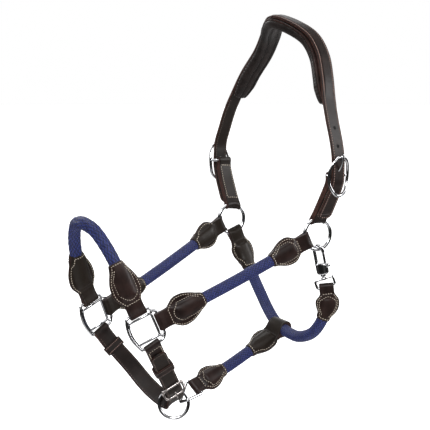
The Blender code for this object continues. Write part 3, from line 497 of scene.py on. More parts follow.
def lay(p, n, kind, body, pitch=STITCH_PITCH, length=STITCH_LENGTH, radius=STITCH_RADIUS):
    """Stitches along points with normals, kept until finish_threads."""
    run = np.concatenate([[0], np.cumsum(np.linalg.norm(np.diff(p, axis=0), axis=1))])
    count = int(run[-1] / pitch)
    if count < 1:
        return
    starts = (run[-1] - count * pitch) / 2 + np.arange(count) * pitch + (pitch - length) / 2

    def read(values, s):
        return np.stack([np.interp(s, run, values[:, k]) for k in range(3)], -1)

    t = np.linspace(0, 1, STITCH_RINGS)
    lift = np.array([-0.9, 0.25, 0.55, 0.55, 0.25, -0.9]) * radius
    size = np.array([0.35, 0.9, 1.0, 1.0, 0.9, 0.35]) * radius
    s = starts[:, None] + t[None, :] * length
    c = read(p, s)
    nn = unit(read(n, s))
    w = unit(np.cross(unit(c[:, -1] - c[:, 0])[:, None], nn))
    slant = (t - 0.5) * length * 0.16
    c = c + nn * lift[None, :, None] + w * slant[None, :, None]
    ring = np.linspace(0, math.tau, STITCH_SIDES + 1)[:-1]
    size = size[None, :, None, None]
    P = (c[:, :, None] + w[:, :, None] * (np.cos(ring) * 1.25)[None, None, :, None] * size
         + nn[:, :, None] * np.sin(ring)[None, None, :, None] * size)
    THREADS.setdefault((kind, body), []).append(P)


def finish_holes():
    """One object for each body's punched holes."""
    for body, parts in HOLES.items():
        bundle("punched_holes_" + body, [(rings, False) for rings in parts],
               MAT["hole"], body, None)


def finish_threads():
    """One object for each body's stitches of one colour."""
    for (kind, body), parts in THREADS.items():
        points = np.concatenate(parts)
        count = len(points)
        one = grid(points[0])
        base = (np.arange(count) * STITCH_RINGS * STITCH_SIDES)[:, None, None]
        quads = (one[None] + base).reshape(-1, 4)
        caps_a = np.array([[0, 3, 2, 1], [0, 5, 4, 3]])
        caps_b = np.array([[30, 31, 32, 33], [30, 33, 34, 35]])
        caps = (np.concatenate([caps_a, caps_b])[None] + base).reshape(-1, 4)
        faces = np.concatenate([quads, caps])
        made = new_object("thread_" + kind + "_" + body, points, faces, MAT[kind], body)


# ------------------------------------------------------------ materials
def shader(name):
    """A new material, its tree and its one surface shader."""
    made = bpy.data.materials.new(name)
    made.use_nodes = True
    tree = made.node_tree
    tree.nodes.clear()
    out = tree.nodes.new("ShaderNodeOutputMaterial")
    base = tree.nodes.new("ShaderNodeBsdfPrincipled")
    tree.links.new(base.outputs[0], out.inputs[0])
    return made, tree, base


class Nodes:
    """Short hands for wiring a node tree."""

    def __init__(self, tree):
        self.tree = tree

    def put(self, socket, value):
        if isinstance(value, bpy.types.NodeSocket):
            self.tree.links.new(value, socket)
        elif value is not None:
            socket.default_value = value

    def math(self, operation, a, b=None, c=None):
        node = self.tree.nodes.new("ShaderNodeMath")
        node.operation = operation
        for socket, value in zip(node.inputs, (a, b, c)):
            self.put(socket, value)
        return node.outputs[0]

    def mix(self, share, a, b):
        node = self.tree.nodes.new("ShaderNodeMix")
        node.data_type = "RGBA"
        self.put(node.inputs[0], share)
        self.put(node.inputs[6], a)
        self.put(node.inputs[7], b)
        return node.outputs[2]

    def noise(self, scale, detail=3.0, vector=None, rough=0.5):
        node = self.tree.nodes.new("ShaderNodeTexNoise")
        dress(node, Scale=scale, Detail=detail, Roughness=rough)
        self.put(node.inputs["Vector"], vector or self.place())
        return node.outputs["Fac"]

    def cells(self, scale, vector=None, feature="F1"):
        node = self.tree.nodes.new("ShaderNodeTexVoronoi")
        node.feature = feature
        dress(node, Scale=scale)
        self.put(node.inputs["Vector"], vector or self.place())
        return node.outputs["Distance"]

    def place(self):
        if not hasattr(self, "_place"):
            self._place = self.tree.nodes.new("ShaderNodeTexCoord").outputs["Object"]
        return self._place

    def attribute(self, name):
        node = self.tree.nodes.new("ShaderNodeAttribute")
        node.attribute_name = name
        return node

    def split(self, vector):
        node = self.tree.nodes.new("ShaderNodeSeparateXYZ")
        self.put(node.inputs[0], vector)
        return node.outputs

    def ramp(self, value, low, high, a=0.0, b=1.0):
        node = self.tree.nodes.new("ShaderNodeMapRange")
        self.put(node.inputs[0], value)
        for socket, limit in zip(list(node.inputs)[1:5], (low, high, a, b)):
            socket.default_value = limit
        return node.outputs[0]

    def bump(self, height, strength, distance, normal=None):
        node = self.tree.nodes.new("ShaderNodeBump")
        dress(node, Strength=strength, Distance=distance)
        self.put(node.inputs["Height"], height)
        self.put(node.inputs["Normal"], normal)
        return node.outputs[0]


def rgb(*values):
    """A linear colour with full alpha."""
    return (*values, 1.0)


def dress(node, **values):
    """Sets a node's inputs by name, with _ for each space."""
    for key, value in values.items():
        node.inputs[key.replace("_", " ")].default_value = value


def leather(name, dark, light, inner, raw_edge, roughness, sheen=0.03):
    """Oiled hide with a worn rim and layered raw edges."""
    made, tree, base = shader(name)
    k = Nodes(tree)
    cut = k.split(k.attribute("cut").outputs["Vector"])
    large = k.noise(60.0, 4.0)
    fine = k.noise(900.0, 3.0)
    pore = k.cells(1500.0)
    face = k.mix(k.ramp(large, 0.35, 0.7), dark, light)
    face = k.mix(k.ramp(cut[2], 0.6, 0.9, 0.0, 0.8), face, inner)
    face = k.mix(k.ramp(fine, 0.55, 0.75, 0.0, 0.35), face, light)
    line = k.math("ABSOLUTE", k.math("SINE", k.math("MULTIPLY", cut[1], math.pi)))
    edge = k.mix(k.ramp(line, 0.0, 0.45), dark, raw_edge)
    edge = k.mix(k.ramp(k.noise(300.0, 4.0), 0.4, 0.65, 0.0, 0.6), edge, dark)
    wear = k.math("MULTIPLY", k.ramp(cut[0], 0.55, 0.95), k.ramp(large, 0.3, 0.55, 0.55, 1.0))
    k.put(base.inputs["Base Color"], k.mix(wear, face, edge))
    rough = k.ramp(k.math("ADD", k.math("MULTIPLY", fine, 0.5), k.math("MULTIPLY", large, 0.5)),
                   0.3, 0.7, roughness - 0.07, roughness + 0.09)
    k.put(base.inputs["Roughness"], k.math("MAXIMUM", rough, k.math("MULTIPLY", cut[0], 0.55)))
    dress(base, Sheen_Weight=sheen, Sheen_Roughness=0.5, Specular_IOR_Level=0.25)
    height = k.math("ADD", k.math("MULTIPLY", k.ramp(pore, 0.0, 0.6), 0.5),
                    k.math("MULTIPLY", fine, 0.6))
    first = k.bump(height, 0.28, 0.0003)
    k.put(base.inputs["Normal"], k.bump(large, 0.25, 0.0015, first))
    return made


def rope_material(name, deep, mid, light):
    """Nylon braid: each strand a bundle of fine yarns, with painted shade between the strands and
    a painted highlight along each strand's crown.
    """
    made, tree, base = shader(name)
    k = Nodes(tree)
    lay_out = k.split(k.attribute("lay").outputs["Vector"])
    a = k.math("FRACT", lay_out[0])
    b = k.math("FRACT", lay_out[1])
    strand = k.mix(lay_out[2], b, a)
    along = k.mix(lay_out[2], lay_out[0], lay_out[1])
    yarn = k.math("SINE", k.math("MULTIPLY_ADD", strand, 6 * math.tau,
                                 k.math("MULTIPLY", along, 3.0)))
    yarn = k.ramp(yarn, -1.0, 1.0)
    crown = k.math("SUBTRACT", 1.0, k.math("ABSOLUTE", k.math("MULTIPLY_ADD", strand, 2.0, -1.0)))
    fibre = k.noise(1400.0, 3.0)
    patch = k.noise(140.0, 3.0)
    # painted shade: each strand is coloured with the deep colour towards its edges, where the
    # strands meet, and mid blue on its crown
    colour = k.mix(k.ramp(crown, 0.22, 0.80), deep, mid)
    # painted highlight: yarns on each strand's crown are mixed towards the light colour
    shine = k.math("MULTIPLY", k.ramp(yarn, 0.35, 0.85), k.ramp(crown, 0.35, 0.95))
    shine = k.math("MULTIPLY", shine, k.ramp(fibre, 0.38, 0.60, 0.35, 1.0))
    colour = k.mix(k.math("MULTIPLY", shine, 0.85), colour, light)
    # random darker patches, mixed towards the same deep colour that also serves as the painted
    # shade
    colour = k.mix(k.ramp(patch, 0.35, 0.7, 0.0, 0.35), colour, deep)
    k.put(base.inputs["Base Color"], colour)
    dress(base, Roughness=0.48, Sheen_Weight=0.03, Sheen_Roughness=0.4,
          Specular_IOR_Level=0.40)
    height = k.math("ADD", k.math("MULTIPLY", yarn, 0.7), k.math("MULTIPLY", fibre, 0.5))
    k.put(base.inputs["Normal"], k.bump(height, 0.5, 0.0003))
    return made


def metal(name, light, dark, roughness, scratch):
    """Plated metal, a little clouded and scratched."""
    made, tree, base = shader(name)
    k = Nodes(tree)
    cloud = k.noise(220.0, 4.0)
    fine = k.noise(2600.0, 2.0)
    k.put(base.inputs["Base Color"], k.mix(k.ramp(cloud, 0.3, 0.75), light, dark))
    dress(base, Metallic=1.0)
    k.put(base.inputs["Roughness"],
          k.ramp(k.math("ADD", cloud, k.math("MULTIPLY", fine, 0.4)), 0.4, 1.0,
                 roughness * 0.7, roughness * 1.5))
    k.put(base.inputs["Normal"], k.bump(k.math("ADD", k.math("MULTIPLY", cloud, 0.8), fine),
                                        scratch, 0.0002))
    return made


def thread(name, colour, shade):
    """Waxed thread, or any plain matt stuff with a fine grain."""
    made, tree, base = shader(name)
    k = Nodes(tree)
    ply = k.noise(1800.0, 2.0)
    k.put(base.inputs["Base Color"], k.mix(k.ramp(ply, 0.4, 0.65), colour, shade))
    dress(base, Roughness=0.7, Sheen_Weight=0.2)
    k.put(base.inputs["Normal"], k.bump(ply, 0.5, 0.0002))
    return made


MAT = {
    "leather": leather("leather", rgb(0.0085, 0.0038, 0.0030), rgb(0.0215, 0.0098, 0.0078),
                       rgb(0.0125, 0.0092, 0.0060), rgb(0.034, 0.0120, 0.0085), 0.35),
    "strap": leather("strap", rgb(0.0072, 0.0038, 0.0031), rgb(0.0170, 0.0090, 0.0073),
                     rgb(0.0110, 0.0075, 0.0055), rgb(0.052, 0.0175, 0.0115), 0.36),
    "pad": leather("pad", rgb(0.0068, 0.0042, 0.0036), rgb(0.0160, 0.0100, 0.0085),
                   rgb(0.010, 0.0075, 0.006), rgb(0.025, 0.011, 0.008), 0.46, 0.05),
    # rope colours: the first is painted shade between the strands, also used for random dark
    # patches; the second is the rope's own navy; the third is a painted highlight on the strands'
    # crowns
    "rope": rope_material("rope", rgb(0.0012, 0.0020, 0.014), rgb(0.0085, 0.0160, 0.110),
                          rgb(0.070, 0.100, 0.44)),
    "chrome": metal("chrome", rgb(0.83, 0.83, 0.85), rgb(0.70, 0.70, 0.72), 0.085, 0.03),
    "satin": metal("satin", rgb(0.68, 0.62, 0.60), rgb(0.54, 0.49, 0.47), 0.26, 0.08),
    "steel": metal("steel", rgb(0.5, 0.5, 0.52), rgb(0.36, 0.36, 0.38), 0.3, 0.05),
    # hole: near-black leather, painted shade that stands in for the inside of the punched holes
    "hole": leather("hole", rgb(0.0012, 0.0009, 0.0008), rgb(0.0030, 0.0020, 0.0018),
                    rgb(0.002, 0.0015, 0.001), rgb(0.01, 0.005, 0.004), 0.7),
    "foam": thread("foam", rgb(0.55, 0.52, 0.42), rgb(0.42, 0.38, 0.30)),
    "cream": thread("cream", rgb(0.50, 0.43, 0.35), rgb(0.33, 0.27, 0.21)),
    "pink": thread("pink", rgb(0.30, 0.185, 0.15), rgb(0.19, 0.11, 0.09)),
    "brown": thread("brown", rgb(0.10, 0.06, 0.045), rgb(0.05, 0.03, 0.022)),
}


# ------------------------------------------------------------ ropes
def braid(name, route, start, end, radius, count=12, slope=0.85, height=0.0008,
          around=96, step=0.00058, ridges=0.0):
    """A braided cover: two families of strands over and under one another."""
    rows = int((end - start) / step) + 1
    s = np.linspace(start, end, rows)
    centre = arr([route.at(q) for q in s])
    tangent = arr([route.tangent(q) for q in s])
    width = carried(tangent, (0.31, 0.52, 0.79))
    normal = np.cross(width, tangent)
    phi = np.linspace(0, math.tau, around + 1)
    arc = math.tau * radius / count
    pitch = arc / slope
    a = count * phi[None, :] / math.tau + s[:, None] / pitch
    b = count * phi[None, :] / math.tau - s[:, None] / pitch
    a = a + 200
    b = b + 200

    def crown(v):
        t = 2 * (v - np.floor(v)) - 1
        return np.sqrt(np.clip(1 - t * t, 0, 1))

    high_a = 0.62 * crown(a) + 0.5 * np.cos(math.pi * (b - 0.5 + np.floor(a)))
    high_b = 0.62 * crown(b) - 0.5 * np.cos(math.pi * (a - 0.5 + np.floor(b)))
    family = (high_a >= high_b).astype(float)
    h = np.maximum(high_a, high_b)
    ridge = 0.00035 * ridges * np.cos(6 * phi[None, :] + 0.6)
    r = radius + 0.00005 + height * (h - 0.6) + ridge
    P = (centre[:, None] + width[:, None] * (np.cos(phi)[None] * r)[..., None]
         + normal[:, None] * (np.sin(phi)[None] * r)[..., None])
    made = skin(name + "_braid", P[:, :-1], MAT["rope"], "headstall", name,
                corner={"lay": np.stack([a, b, family], -1)})
    return made


# ------------------------------------------------------------ leather rope ends
def ring_sag(stations, low):
    """Draws a fold's middle back so that it follows the round ring's wire."""
    tangent = np.cross(stations.n[5], stations.w[5])
    sign = 1 if tangent @ (stations.c[6] - stations.c[5]) > 0 else -1

    def shift(s, x):
        sag = np.clip(1 - (s - low * 0.45) / (low * 1.6), 0, 1)
        bend = RING_RADIUS - np.sqrt(np.clip(RING_RADIUS ** 2 - x * x, 0, None))
        return -bend * sag * sign
    return shift


def leaf(name, route, size, rope_radius, widths, outward, hold=DEE_WIRE, neck=0.0108,
         on_ring=False):
    """A leather end: a fold round metal, then a belly sewn round the rope's end."""
    length, half_width = size
    fold = hold + GAP + PLY
    flat = 0.0026
    crest = rope_radius + 0.0019
    bulge = min(half_width, rope_radius + 0.0042)
    tip = rope_radius + 0.0014
    table = np.array([
        (-fold, neck - 0.0008, fold * 0.16, fold * 0.16),
        (-fold * 0.92, neck - 0.0003, fold * 0.42, fold * 0.42),
        (-fold * 0.70, neck, fold * 0.70, fold * 0.70),
        (-fold * 0.35, neck, fold * 0.92, fold * 0.92),
        (0.0, neck, fold * 0.99, fold * 0.99),
        (fold * 0.50, neck, fold * 0.90, fold * 0.90),
        (fold * 1.7, neck, flat * 1.15, flat * 1.15),
        (max(length * 0.21, fold * 2.2), neck * 1.03, flat, flat * 1.1),
        (length * 0.31, half_width * 0.80, flat * 0.9, crest * 0.66),
        (length * 0.38, half_width * 0.92, flat * 0.85, crest * 0.95),
        (length * 0.48, half_width, flat * 0.75, crest),
        (length * 0.60, half_width * 0.97, flat * 0.75, crest),
        (length * 0.74, max(half_width * 0.82, tip), flat * 0.75, crest),
        (length * 0.88, max(half_width * 0.60, tip), flat * 0.7, crest - 0.0003),
        (length - 0.0008, tip, flat * 0.6, crest - 0.0008),
        (length, tip - 0.0005, flat * 0.4, crest - 0.0013)])
    marks = np.unique(np.concatenate([np.linspace(-fold, fold * 0.5, 16),
                                      np.linspace(fold * 0.5, length - 0.002, 62),
                                      np.linspace(length - 0.002, length, 6)]))
    stations = Stations(route, marks, blend(*widths, length))

    def half(s):
        belly = np.clip((s / length - 0.24) / 0.12, 0, 1) * np.clip((1 - s / length) / 0.15, 0, 1)
        return ease(table[:, 0], table[:, 1], s) * (1 + 0.08 * belly)

    def top(s, x):
        edge = ease(table[:, 0], table[:, 2], s)
        high = ease(table[:, 0], table[:, 3], s)
        reach = np.minimum(bulge, half(s)) * 1.001
        t = np.clip(np.abs(x) / reach, 0, 1)
        return edge + (high - edge) * (1 - t ** 2.3) ** 0.60

    shift = ring_sag(stations, fold) if on_ring else None
    slab = Slab(stations, half, top, shift=shift, corner=0.0007, layers=2,
                groove=((0.00022, SEAM_INSET, SEAM_WIDTH),))
    face = facing_side(stations.read(np.array([length / 2]))[2][0], outward)
    made = slab.build(name + "_hide", MAT["leather"], "headstall", name, outer=face)
    short = 0.0002
    begin = max(length * 0.235, fold * 2.3)
    s = np.linspace(begin, length - 0.0022, 60)
    w = half(s) - SEAM_INSET
    outline = ([(begin, short - w[0])]
               + list(zip(s, -w)) + [(s[-1], x) for x in np.linspace(-w[-1], w[-1], 12)][1:-1]
               + list(zip(s[::-1], w[::-1])))
    for side in (1, -1):
        sew(slab, outline, side, "cream", "headstall")
    cross = [(begin - 0.0006, x) for x in np.linspace(-w[0], w[0], 8)]
    sew(slab, cross, face, "cream", "headstall")
    s = np.linspace(length * 0.30, length * 0.90, 50)
    reach = np.minimum(bulge, half(s) - 0.0036) + 0.0006
    taper = np.sqrt(np.clip((s - length * 0.295) / (length * 0.15), 0, 1))
    reach = np.minimum(reach * taper, half(s) - 0.0042)
    drop = list(zip(s[::-1], -reach[::-1])) + list(zip(s, reach))
    sew(slab, drop, face, "cream", "headstall", pitch=0.0029, length=0.0021, radius=0.0003)


# ------------------------------------------------------------ metal
def closed_smooth(points, fine):
    """A smooth closed path through points."""
    knots = [arr(p) for p in points]
    n = len(knots)
    return np.array([spline(*(knots[(i + k - 1) % n] for k in range(4)), step / fine)
                     for i in range(n) for step in range(fine)])


def open_smooth(points, fine=10):
    route = Route(points)
    count = max(4, len(points) * fine)
    return arr([route.at(route.length * i / count) for i in range(count + 1)])


def rounded(points, radius, steps=6, closed=True):
    """A polygon with its corners turned to arcs."""
    pts = [arr(p) for p in points]
    n = len(pts)
    out = []
    for i in range(n):
        if not closed and i in (0, n - 1):
            out.append(pts[i])
            continue
        a, b, c = pts[(i - 1) % n], pts[i], pts[(i + 1) % n]
        r = min(radius, np.linalg.norm(a - b) * 0.49, np.linalg.norm(c - b) * 0.49)
        p = b + (a - b) / np.linalg.norm(a - b) * r
        q = b + (c - b) / np.linalg.norm(c - b) * r
        for k in range(steps + 1):
            t = k / steps
            out.append((1 - t) ** 2 * p + 2 * t * (1 - t) * b + t * t * q)
    return np.array(out)


def wire_points(path, wide, tall, closed, up=(0, 0, 1), around=20, taper=None):
    """Rings of an elliptical wire along a path: wide in the plane, tall along up."""
    path = np.asarray(path, float)
    if closed:
        t = np.roll(path, -1, 0) - np.roll(path, 1, 0)
    else:
        t = np.gradient(path, axis=0)
    t = unit(t)
    up = np.broadcast_to(arr(up), path.shape)
    n = unit(up - t * (up * t).sum(1, keepdims=True))
    w = np.cross(n, t)
    phi = np.linspace(0, math.tau, around, endpoint=False)
    scale = np.ones(len(path)) if taper is None else np.asarray(taper)
    wide = np.broadcast_to(wide, (len(path),)) * scale
    tall = np.broadcast_to(tall, (len(path),)) * scale
    return (path[:, None] + w[:, None] * (np.cos(phi)[None] * wide[:, None])[..., None]
            + n[:, None] * (np.sin(phi)[None] * tall[:, None])[..., None])


def place(points, matrix):
    m = np.array(matrix)
    return points @ m[:3, :3].T + m[:3, 3]


def bundle(name, parts, material, body, node, matrix=None):
    """One object from several tubes: (rings, closed) pairs."""
    points, faces, base = [], [], 0
    for rings, closed in parts:
        if matrix is not None:
            rings = place(rings, matrix)
        rows, columns = rings.shape[:2]
        quads = grid(rings, closed)
        part = list(quads)
        if not closed:
            part += [np.arange(columns)[::-1], np.arange(columns) + (rows - 1) * columns]
        flat = rings.reshape(-1, 3)
        centre = flat.mean(0)
        a, b, c = (flat[quads[:, k]] - centre for k in range(3))
        d = flat[quads[:, 3]] - centre
        volume = (np.einsum("ij,ij->", a, np.cross(b, c))
                  + np.einsum("ij,ij->", a, np.cross(c, d)))
        if volume < 0:
            part = [f[::-1] for f in part]
        faces += [f + base for f in part]
        points.append(flat)
        base += len(flat)
    made = new_object(name, np.concatenate(points), faces, material, body, node)
    return made


def rod(start, end, count, wide, tall=None, around=20):
    """A straight wire, as a part of a bundle."""
    path = np.linspace(start, end, count)
    tall = wide if tall is None else tall
    return wire_points(path, wide, tall, False, around=around), False


def caps(rings, rounding=4):
    """Adds a domed end to each end of an open wire's rings."""
    def dome(ring, direction):
        centre = ring.mean(0)
        radius = np.linalg.norm(ring[0] - centre)
        out = []
        for k in range(1, rounding + 1):
            angle = math.pi / 2 * k / rounding
            out.append(centre + (ring - centre) * max(math.cos(angle), 0.04)
                       + direction * radius * math.sin(angle))
        return out
    first = rings[0].mean(0) - rings[1].mean(0)
    last = rings[-1].mean(0) - rings[-2].mean(0)
    first /= np.linalg.norm(first)
    last /= np.linalg.norm(last)
    return np.array(dome(rings[0], first)[::-1] + list(rings) + dome(rings[-1], last))


def hoop(radius, wire, matrix, around=96):
    """The rings of a round closed wire."""
    angle = np.linspace(0, math.tau, around, endpoint=False)
    path = np.stack([radius * np.cos(angle), radius * np.sin(angle), angle * 0], -1)
    return place(wire_points(path, wire, wire, True, around=24), matrix)


def make_metal():
    for name, side in SIDES:
        turn = (Matrix.Translation(mirrored(RING_CENTRE, side))
                @ Matrix.Rotation(math.pi / 2, 4, "X"))
        bundle(name + "_ring_round", [(hoop(RING_RADIUS, RING_WIRE, turn), True)],
               MAT["chrome"], name + "_ring", name + "_ring")
        make_dee(name, side)
    facing = LEAD_RING_FACING.to_track_quat("Z", "Y").to_matrix().to_4x4()
    turn = Matrix.Translation(LEAD_RING_CENTRE) @ facing
    bundle("lead_ring_round", [(hoop(LEAD_RING_RADIUS, RING_WIRE, turn), True)],
           MAT["chrome"], "lead_ring", "lead_ring")
    make_snap()
    make_link()


def make_dee(name, side):
    matrix = dee_matrix(side)
    reach = DEE_REACH
    outline = [(-0.0135, reach), (0.0115, reach), (0.0145, reach - 0.0008),
               (0.0160, 0.0182), (0.0180, 0.0160), (reach - 0.0008, 0.0142),
               (reach, 0.0115), (reach, -0.0115), (0.0205, -0.0150),
               (0.0180, -0.0188), (0.0145, -0.0208), (0.0110, -reach),
               (-0.0114, -reach), (-0.0144, -0.0196), (-0.0172, -0.0130),
               (-0.0194, -0.0045), (-0.0198, 0.0040), (-0.0188, 0.0120),
               (-0.0168, 0.0180)]
    loop = closed_smooth([(x, y, 0) for x, y in outline], 8)
    parts = [(wire_points(loop, DEE_WIRE, DEE_WIRE, True), True)]
    half = DEE_HALF
    square = rounded([(-0.0172, half, 0), (half, half, 0), (half, -half, 0),
                      (-0.0152, -half, 0)], 0.0016, 6, closed=False)
    parts.append((wire_points(square, DEE_WIRE * 0.94, DEE_WIRE * 0.94, False), False))
    for a, b in (((half - 0.001, half - 0.001), (0.0170, 0.0170)),
                 ((half - 0.001, 0.001 - half), (0.0184, -0.0184))):
        parts.append(rod((*a, 0), (*b, 0), 5, DEE_WIRE * 1.05, DEE_WIRE * 0.95))
    front = open_smooth([(x + 0.0012, y * 0.985, 0) for x, y in outline[13:]], 8)
    wide = 0.0031 * np.interp(np.linspace(0, 1, len(front)), [0, 0.12, 0.5, 0.9, 1],
                              [0.55, 0.9, 1.0, 0.92, 0.6])
    parts.append((wire_points(front, wide, DEE_WIRE * 0.86, False, around=28), False))
    bundle(name + "_dee_cast", parts, MAT["chrome"], "headstall", name + "_dee",
           matrix)


def make_snap():
    top = HOOK_TOP
    half = HOOK_HALF
    turns = [math.pi - math.pi * i / 12 for i in range(13)]
    arc = [(half * math.cos(a), top + half * math.sin(a), 0) for a in turns]
    path = open_smooth([(-half + 0.0004, 0.006, 0), (-half, 0.014, 0), (-half, 0.022, 0)]
                       + arc + [(half, top - 0.0030, 0)], 5)
    thick = np.interp(np.linspace(0, 1, len(path)), [0, 0.3, 0.75, 1], [1.15, 1.0, 1.0, 0.95])
    parts = [(caps(wire_points(path, HOOK_WIRE, HOOK_WIRE, False, taper=thick)), False)]
    profile = [(0.0002, 0.0028), (0.0016, 0.0062), (0.0038, 0.0076), (0.0085, 0.0078),
               (0.0118, 0.0076), (0.0142, 0.0062), (0.0150, 0.0040)]
    ys = np.linspace(0.0002, 0.0150, 22)
    wide = ease([p[0] for p in profile], [p[1] for p in profile], ys)
    phi = np.linspace(0, math.tau, 40, endpoint=False)
    cx = np.sign(np.cos(phi)) * np.abs(np.cos(phi)) ** 0.72
    cz = np.sign(np.sin(phi)) * np.abs(np.sin(phi)) ** 0.72
    deep = np.minimum(wide * 0.62, 0.0040)
    block = np.stack([0.0004 + wide[:, None] * cx[None], np.broadcast_to(ys[:, None], (22, 40)),
                      deep[:, None] * cz[None]], -1)
    parts.append((block, False))
    parts.append(rod((0, -0.0012, 0), (0, 0.0012, 0), 4, 0.0033))
    bundle("snap_hook_cast", parts, MAT["chrome"], "snap", "snap_hook", HOOK_MATRIX)

    tip = top - 0.0030 - GAP
    shaft = rod((half, 0.0150, 0), (half, tip, 0), 12, 0.0015)[0]
    stem = rod((half, 0.0124, 0), (half + 0.0048, 0.0124, 0), 5, 0.0011)
    size = np.array([16, 21] + [24, 22] * 4 + [22, 18, 10]) * 0.0001
    knob = rod((half + 0.0030, 0.0124, 0), (half + 0.0060, 0.0124, 0), 13, size, around=28)
    bundle("snap_bolt_turned", [(caps(shaft), False), stem, knob], MAT["chrome"],
           "snap_bolt", "snap_bolt", HOOK_MATRIX)

    w = EYE_HALF_WIDTH
    h = 2 * EYE_HALF_HEIGHT
    loop = rounded([(-w, 0, 0), (w, 0, 0), (w, -h, 0), (-w, -h, 0)], 0.0026)
    parts = [(place(wire_points(loop, EYE_WIRE * 1.1, EYE_WIRE, True), EYE_MATRIX), True)]
    fat = np.array([1.2, 1.5, 1.8, 2.0, 2.1, 2.0, 1.8, 1.5, 1.2]) * 0.00105
    boss = rod((-0.0042, 0, 0), (0.0042, 0, 0), 9, fat)[0]
    stud = rod((0, -0.0046, 0), (0, 0.0040, 0), 5, 0.0016)[0]
    parts += [(place(boss, EYE_MATRIX), False), (place(stud, HOOK_MATRIX), False)]
    bundle("snap_eye_wire", parts, MAT["chrome"], "headstall", "snap_eye")

    turns = 5
    low, high = 0.0024, 0.0092
    u = np.linspace(0, 1, turns * 18 + 1)
    coil = np.stack([HOOK_HALF + 0.00125 * np.cos(math.tau * turns * u), low + (high - low) * u,
                     0.00125 * np.sin(math.tau * turns * u)], -1)
    ring = place(wire_points(coil, 0.0003, 0.0003, False, up=(0, 1, 0), around=8), HOOK_MATRIX)
    coil = bundle("snap_spring_coil", [(ring, False)], MAT["steel"], "snap", "snap_spring")
    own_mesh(coil)


def make_link():
    across_front = Matrix.Rotation(math.radians(-LINK_TWIST), 3, "Y") @ Vector((1, 0, 0))
    a, b, end = LINK_HALF_REAR, LINK_HALF_FRONT, -LINK_LENGTH
    points = [Vector((-a, 0, 0)), Vector((a, 0, 0)), across_front * b + Vector((0, end, 0)),
              across_front * -b + Vector((0, end, 0))]
    loop = rounded([tuple(p) for p in points], 0.0030, 8)
    fine, t = refined(loop, 0.0012)
    up = carried(t, (0, 0, 1))
    last = up[-1] - t[0] * (up[-1] @ t[0])
    last /= np.linalg.norm(last)
    gap = math.atan2(np.cross(last, up[0]) @ t[0], last @ up[0])
    for i in range(len(fine)):
        g = gap * i / len(fine)
        up[i] = up[i] * math.cos(g) + np.cross(t[i], up[i]) * math.sin(g)
    rings = wire_points(fine, LINK_WIRE, LINK_WIRE, True, up=up)
    bundle("chin_link_wire", [(place(rings, LINK_MATRIX), True)], MAT["chrome"],
           "headstall", "chin_link")


# ------------------------------------------------------------ noseband, cheeks, throat
NOSE_HALF = (
    (-0.2470, 0.0565, -0.3150), (-0.2585, 0.0500, -0.2840), (-0.2665, 0.0400, -0.2620),
    (-0.2730, 0.0250, -0.2445), (-0.2770, 0.0100, -0.2378))
NOSE_TOP = (-0.2780, 0.0, -0.2365)
THROAT_POINTS = (
    (0.0065, -0.1015, -0.3430), (0.0015, -0.0960, -0.3655), (-0.0005, -0.0790, -0.3825),
    (0.0010, -0.0500, -0.3915), (0.0035, -0.0250, -0.3915), (0.0050, 0.0000, -0.3865),
    (0.0075, 0.0200, -0.3785), (0.0110, 0.0400, -0.3670), (0.0140, 0.0600, -0.3515),
    (0.0140, 0.0755, -0.3345), (0.0115, 0.0860, -0.3170), (0.0070, 0.0935, -0.2980))
CONNECTOR_POINTS = (
    (-0.1000, -0.0035, -0.4396), (-0.0740, -0.0008, -0.4297),
    (-0.0460, 0.0, -0.4160), (-0.0180, 0.0, -0.4010))


NOSE_LEAF = (0.066, 0.0175)
CHEEK_FRONT_LEAF = (0.060, 0.0178)
CHEEK_REAR_LEAF = (0.050, 0.0158)
NEAR_THROAT_LEAF = (0.041, 0.0135)
OFF_THROAT_LEAF = (0.050, 0.0140)
JAW_FRONT_LEAF = (0.048, 0.0142)
JAW_REAR_LEAF = (0.054, 0.0142)


def rope_between(name, route, first, last, radius=ROPE_RADIUS, **weave):
    """A braid from inside one leather end to inside the other."""
    braid(name, route, first[0] * SOCKET_START, route.length - last[0] * SOCKET_START,
          radius, **weave)


